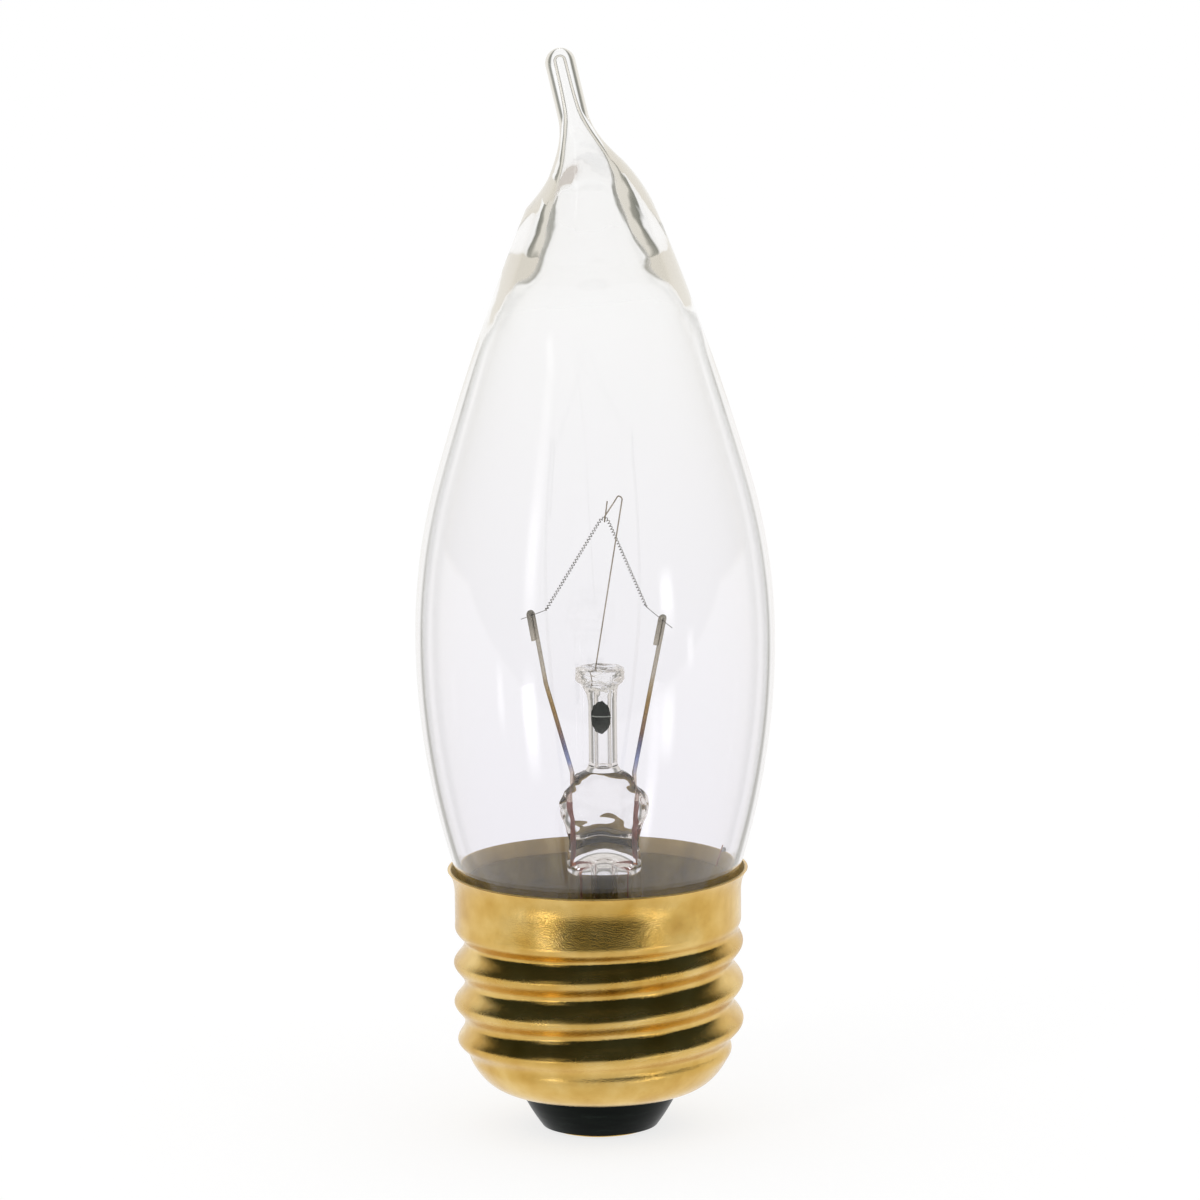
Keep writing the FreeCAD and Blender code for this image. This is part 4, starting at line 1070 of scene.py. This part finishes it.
class CANDLE_OT_base(bpy.types.Operator):
    """Gives the insulator, end contact, solders, cement and exhaust tube their finishes"""

    bl_idname = "candle_lamp.base"
    bl_label = "Base parts"

    def execute(self, context):
        dress("insulator", black_vitrite())
        brass = rolled_brass("Brass, stamped", 0.24, context.scene.candle_lamp.cap)
        dress("centre_contact", brass)
        solder = tin_solder()
        dress("contact_solder", solder)
        dress("side_solder", solder)
        dress("basing_cement", resin_cement())
        dress("exhaust_tube", pressed_lead_glass())
        return {"FINISHED"}


# Studio


def direction(azimuth, elevation):
    """Unit vector from the lamp, in degrees. Azimuth is from the camera's side, positive to the right."""
    a, e = math.radians(azimuth), math.radians(elevation)
    return Vector((math.sin(a) * math.cos(e), -math.cos(a) * math.cos(e), math.sin(e)))


def soft_patch(tree, way, azimuth, elevation, half_width, half_height, strength):
    """Light of a soft rectangular box in the world, by its place and half sizes in degrees."""
    out = direction(azimuth, elevation)
    side = Vector((0, 0, 1)).cross(out).normalized()
    facing = add_node(tree, "ShaderNodeVectorMath", {"operation": "DOT_PRODUCT"}, {0: way, 1: tuple(out)})
    light = add_node(tree, "ShaderNodeMath", {"operation": "GREATER_THAN"}, {
        0: facing.outputs["Value"], 1: 0.0,
    })
    for axis, half in ((side, half_width), (out.cross(side), half_height)):
        reach = math.sin(math.radians(half))
        along = add_node(tree, "ShaderNodeVectorMath", {"operation": "DOT_PRODUCT"}, {0: way, 1: tuple(axis)})
        size = add_node(tree, "ShaderNodeMath", {"operation": "ABSOLUTE"}, {0: along.outputs["Value"]})
        edge = add_node(tree, "ShaderNodeMapRange", {"interpolation_type": "SMOOTHSTEP"}, {
            "Value": size.outputs[0], "From Min": reach * 0.2, "From Max": reach * 1.45,
            "To Min": 1.0, "To Max": 0.0,
        })
        light = add_node(tree, "ShaderNodeMath", {"operation": "MULTIPLY"}, {
            0: light.outputs[0], 1: edge.outputs[0],
        })
    lit = add_node(tree, "ShaderNodeMath", {"operation": "MULTIPLY"}, {0: light.outputs[0], 1: strength})
    return lit.outputs[0]


# Soft boxes: azimuth, elevation, half width, half height and strength
SOFT_BOXES = [
    (-43, 10, 4.5, 13, 1.5), (-43, -19, 4.5, 7, 4.2), (-64, -15, 2.5, 4, 2.0),
    (48, 1, 4.5, 5, 2.8), (48, -19, 4.5, 5, 3.6), (63, -8, 2.5, 3, 2.0), (38, -33, 3, 5, 2.0),
]


# What glass shows of the room, from the camera's side (0) to straight behind the lamp (1): near white but for
# one dark edge of the white board, which draws the outline of the glass
BACKDROP = [
    (0.0, "#F3F0EA"), (0.45, "#ECE8E0"), (0.84, "#E2DED4"), (0.88, "#96958C"), (0.925, "#7C7D75"),
    (0.95, "#FFFFFF"),
]


def backdrop(tree, away):
    """The tone that glass shows, by the share of a direction that points away from the camera."""
    facing = add_node(tree, "ShaderNodeMath", {"operation": "MULTIPLY_ADD"}, {0: away, 1: 0.5, 2: 0.5})
    return add_node(tree, "ShaderNodeValToRGB", None, {"Fac": facing.outputs[0]}, BACKDROP).outputs["Color"]


def studio_air():
    """World light: plain white for matt surfaces. Metal shows a white table and backdrop, a dark room towards
    the camera and soft boxes. Glass shows the backdrop with its edge, and the camera sees white."""
    world = bpy.data.worlds.new("Studio")
    bpy.context.scene.world = world
    world.use_nodes = True
    tree = world.node_tree
    tree.nodes.clear()
    way = add_node(tree, "ShaderNodeTexCoord").outputs["Generated"]
    split = add_node(tree, "ShaderNodeSeparateXYZ", None, {"Vector": way})
    behind = add_node(tree, "ShaderNodeMapRange", {"interpolation_type": "SMOOTHSTEP"}, {
        "Value": split.outputs["Y"], "From Min": 0.28, "From Max": 0.62,
    })
    towards = add_node(tree, "ShaderNodeMath", {"operation": "MINIMUM"}, {0: split.outputs["Y"], 1: 0.0})
    above = add_node(tree, "ShaderNodeMath", {"operation": "MULTIPLY_ADD"}, {
        0: towards.outputs[0], 1: -0.36, 2: split.outputs["Z"],
    })
    table = add_node(tree, "ShaderNodeMapRange", {"interpolation_type": "SMOOTHSTEP"}, {
        "Value": above.outputs[0], "From Min": -0.02, "From Max": 0.03, "To Min": 1.0, "To Max": 0.0,
    })
    white = add_node(tree, "ShaderNodeMath", {"operation": "MAXIMUM"}, {
        0: behind.outputs[0], 1: table.outputs[0],
    })
    walls = add_node(tree, "ShaderNodeValToRGB", None, {"Fac": white.outputs[0]}, [
        (0.0, "#343C38"), (0.3, "#5A5D52"), (0.6, "#C9C3B8"), (0.85, "#F3F1EE"), (1.0, "#FFFFFF"),
    ])
    high = add_node(tree, "ShaderNodeMapRange", {"interpolation_type": "SMOOTHSTEP"}, {
        "Value": split.outputs["Z"], "From Min": 0.93, "From Max": 0.99,
    })
    room = add_node(tree, "ShaderNodeMix", {"data_type": "RGBA"}, {
        "Factor": high.outputs[0], 6: walls.outputs["Color"], 7: linear("#8F8A7C"),
    })
    depth = add_node(tree, "ShaderNodeMapRange", None, {
        "Value": split.outputs["Y"], "From Min": -0.8, "From Max": 0.3, "To Min": 0.78, "To Max": 1.0,
    })
    room = add_node(tree, "ShaderNodeVectorMath", {"operation": "SCALE"}, {
        0: room.outputs[2], "Scale": depth.outputs[0],
    })
    boxes = 0.0
    for box in SOFT_BOXES:
        light = soft_patch(tree, way, *box)
        boxes = add_node(tree, "ShaderNodeMath", {"operation": "ADD"}, {0: boxes, 1: light}).outputs[0]
    path = add_node(tree, "ShaderNodeLightPath")
    seen = linear("#E7E7E7")
    rays = (
        ("Is Glossy Ray", room.outputs[0]), ("Is Transmission Ray", backdrop(tree, split.outputs["Y"])),
        ("Is Camera Ray", linear("#FFFFFF")),
    )
    for ray, colour in rays:
        seen = add_node(tree, "ShaderNodeMix", {"data_type": "RGBA"}, {
            "Factor": path.outputs[ray], 6: seen, 7: colour,
        }).outputs[2]
    caught = add_node(tree, "ShaderNodeMath", {"operation": "GREATER_THAN"}, {
        0: path.outputs["Glossy Depth"], 1: CAUGHT_AFTER,
    })
    seen = add_node(tree, "ShaderNodeMix", {"data_type": "RGBA"}, {
        "Factor": caught.outputs[0], 6: seen, 7: linear("#E2DDD2"),
    }).outputs[2]
    reflected = add_node(tree, "ShaderNodeMath", {"operation": "MULTIPLY"}, {
        0: boxes, 1: path.outputs["Is Glossy Ray"],
    })
    air = add_node(tree, "ShaderNodeBackground", None, {"Color": seen, "Strength": 1.0})
    glow = add_node(tree, "ShaderNodeBackground", None, {
        "Color": (1.0, 1.0, 1.0, 1.0), "Strength": reflected.outputs[0],
    })
    both = add_node(tree, "ShaderNodeAddShader", None, {0: air.outputs[0], 1: glow.outputs[0]})
    out = add_node(tree, "ShaderNodeOutputWorld")
    tree.links.new(both.outputs[0], out.inputs["Surface"])


def white_board():
    # White board, painted: clean white to the camera, with a soft shadow, and with its dark edge in glass
    material, tree, out = new_material("White board, painted")
    where, _ = object_height(tree)
    outward = add_node(tree, "ShaderNodeVectorMath", {"operation": "NORMALIZE"}, {0: where})
    split = add_node(tree, "ShaderNodeSeparateXYZ", None, {"Vector": outward.outputs[0]})
    path = add_node(tree, "ShaderNodeLightPath")
    tone = add_node(tree, "ShaderNodeMix", {"data_type": "RGBA"}, {
        "Factor": path.outputs["Is Transmission Ray"], 6: linear("#FFFFFF"),
        7: backdrop(tree, split.outputs["Y"]),
    })
    shown = add_node(tree, "ShaderNodeMath", {"operation": "MAXIMUM"}, {
        0: path.outputs["Is Camera Ray"], 1: path.outputs["Is Transmission Ray"],
    })
    also = add_node(tree, "ShaderNodeMath", {"operation": "MAXIMUM"}, {
        0: shown.outputs[0], 1: path.outputs["Is Glossy Ray"],
    })
    paint = add_node(tree, "ShaderNodeBsdfDiffuse", None, {"Color": (0.8, 0.8, 0.8, 1.0)})
    dimmed = add_node(tree, "ShaderNodeVectorMath", {"operation": "SCALE"}, {
        0: tone.outputs[2], "Scale": 0.3,
    })
    thin = add_node(tree, "ShaderNodeBsdfDiffuse", None, {"Color": dimmed.outputs[0]})
    glow = add_node(tree, "ShaderNodeEmission", None, {"Color": tone.outputs[2], "Strength": 0.76})
    bright = add_node(tree, "ShaderNodeAddShader", None, {0: thin.outputs[0], 1: glow.outputs[0]})
    mix = add_node(tree, "ShaderNodeMixShader", None, {
        "Fac": also.outputs[0], 1: paint.outputs[0], 2: bright.outputs[0],
    })
    tree.links.new(mix.outputs[0], out.inputs["Surface"])
    return material


def soft_box(name, azimuth, elevation, distance, width, height, radiance):
    """An area lamp that faces the lamp's middle. Azimuth is from the camera's side, positive to the right."""
    middle = Vector((0, 0, 0.045))
    away = direction(azimuth, elevation)
    light = bpy.data.lights.new(name, "AREA")
    light.shape = "RECTANGLE"
    light.size = width
    light.size_y = height
    light.energy = radiance * math.pi * width * height
    lamp = bpy.data.objects.new(name, light)
    bpy.context.scene.collection.objects.link(lamp)
    lamp.location = middle + away * distance
    lamp.rotation_euler = away.to_track_quat("Z", "Y").to_euler()
    lamp.visible_camera = False
    lamp.visible_glossy = False
    lamp.visible_transmission = False
    return lamp


class CANDLE_OT_stage(bpy.types.Operator):
    """Sets the floor, the soft studio light and the camera"""

    bl_idname = "candle_lamp.stage"
    bl_label = "Stage"

    def execute(self, context):
        scene = context.scene
        settings = scene.candle_lamp.stage
        half = settings.floor_size / 2
        mesh = bpy.data.meshes.new("Floor")
        corners = [(-half, -half, 0), (half, -half, 0), (half, half, 0), (-half, half, 0)]
        mesh.from_pydata(corners, [], [(0, 1, 2, 3)])
        mesh.materials.append(white_board())
        board = bpy.data.objects.new("Floor", mesh)
        scene.collection.objects.link(board)
        board.visible_glossy = False
        studio_air()
        soft_box("LeftBox", -42, 12, 0.7, 0.11, 0.75, 3.0)
        soft_box("RightBox", 50, 4, 0.7, 0.10, 0.30, 3.0)
        camera = bpy.data.objects.new("Camera", bpy.data.cameras.new("Camera"))
        scene.collection.objects.link(camera)
        camera.data.sensor_width = 36.0
        camera.data.lens = settings.lens
        camera.data.clip_start = 0.01
        camera.data.clip_end = 50.0
        tilt = Matrix.Rotation(math.pi / 2 - settings.pitch, 4, "X")
        roll = Matrix.Rotation(settings.roll, 4, "Z")
        camera.matrix_world = Matrix.Translation(settings.camera_place) @ tilt @ roll
        scene.camera = camera
        scene.view_settings.view_transform = "Standard"
        return {"FINISHED"}


class CANDLE_PT_sidebar(bpy.types.Panel):
    """Lists the lamp's pieces and their sizes"""

    bl_idname = "CANDLE_PT_sidebar"
    bl_label = "Candle Lamp"
    bl_space_type = "VIEW_3D"
    bl_region_type = "UI"
    bl_category = "Candle Lamp"

    def draw(self, context):
        lamp = context.scene.candle_lamp
        for operator in OPERATORS:
            self.layout.operator(operator.bl_idname)
        for title, group in (
            ("Glass", lamp.glass), ("Stem", lamp.stem), ("Wires", lamp.wires), ("Cap", lamp.cap),
            ("Stage", lamp.stage),
        ):
            box = self.layout.box()
            box.label(text=title)
            for name in group.__annotations__:
                box.prop(group, name)


GROUPS = (GlassSizes, StemSizes, WireSizes, CapSizes, StageSettings, CandleLamp)
OPERATORS = (
    CANDLE_OT_envelope, CANDLE_OT_stem, CANDLE_OT_arbor, CANDLE_OT_getter, CANDLE_OT_filament,
    CANDLE_OT_wires, CANDLE_OT_shell, CANDLE_OT_base, CANDLE_OT_stage,
)


def register():
    for kind in (*GROUPS, *OPERATORS, CANDLE_PT_sidebar):
        bpy.utils.register_class(kind)
    bpy.types.Scene.candle_lamp = PointerProperty(type=CandleLamp)


def unregister():
    del bpy.types.Scene.candle_lamp
    for kind in reversed((*GROUPS, *OPERATORS, CANDLE_PT_sidebar)):
        bpy.utils.unregister_class(kind)


def main():
    register()
    bpy.ops.candle_lamp.envelope()
    bpy.ops.candle_lamp.stem()
    bpy.ops.candle_lamp.arbor()
    bpy.ops.candle_lamp.getter()
    bpy.ops.candle_lamp.filament()
    bpy.ops.candle_lamp.wires()
    bpy.ops.candle_lamp.shell()
    bpy.ops.candle_lamp.base()
    bpy.ops.candle_lamp.stage()


if __name__ == "__main__":
    main()
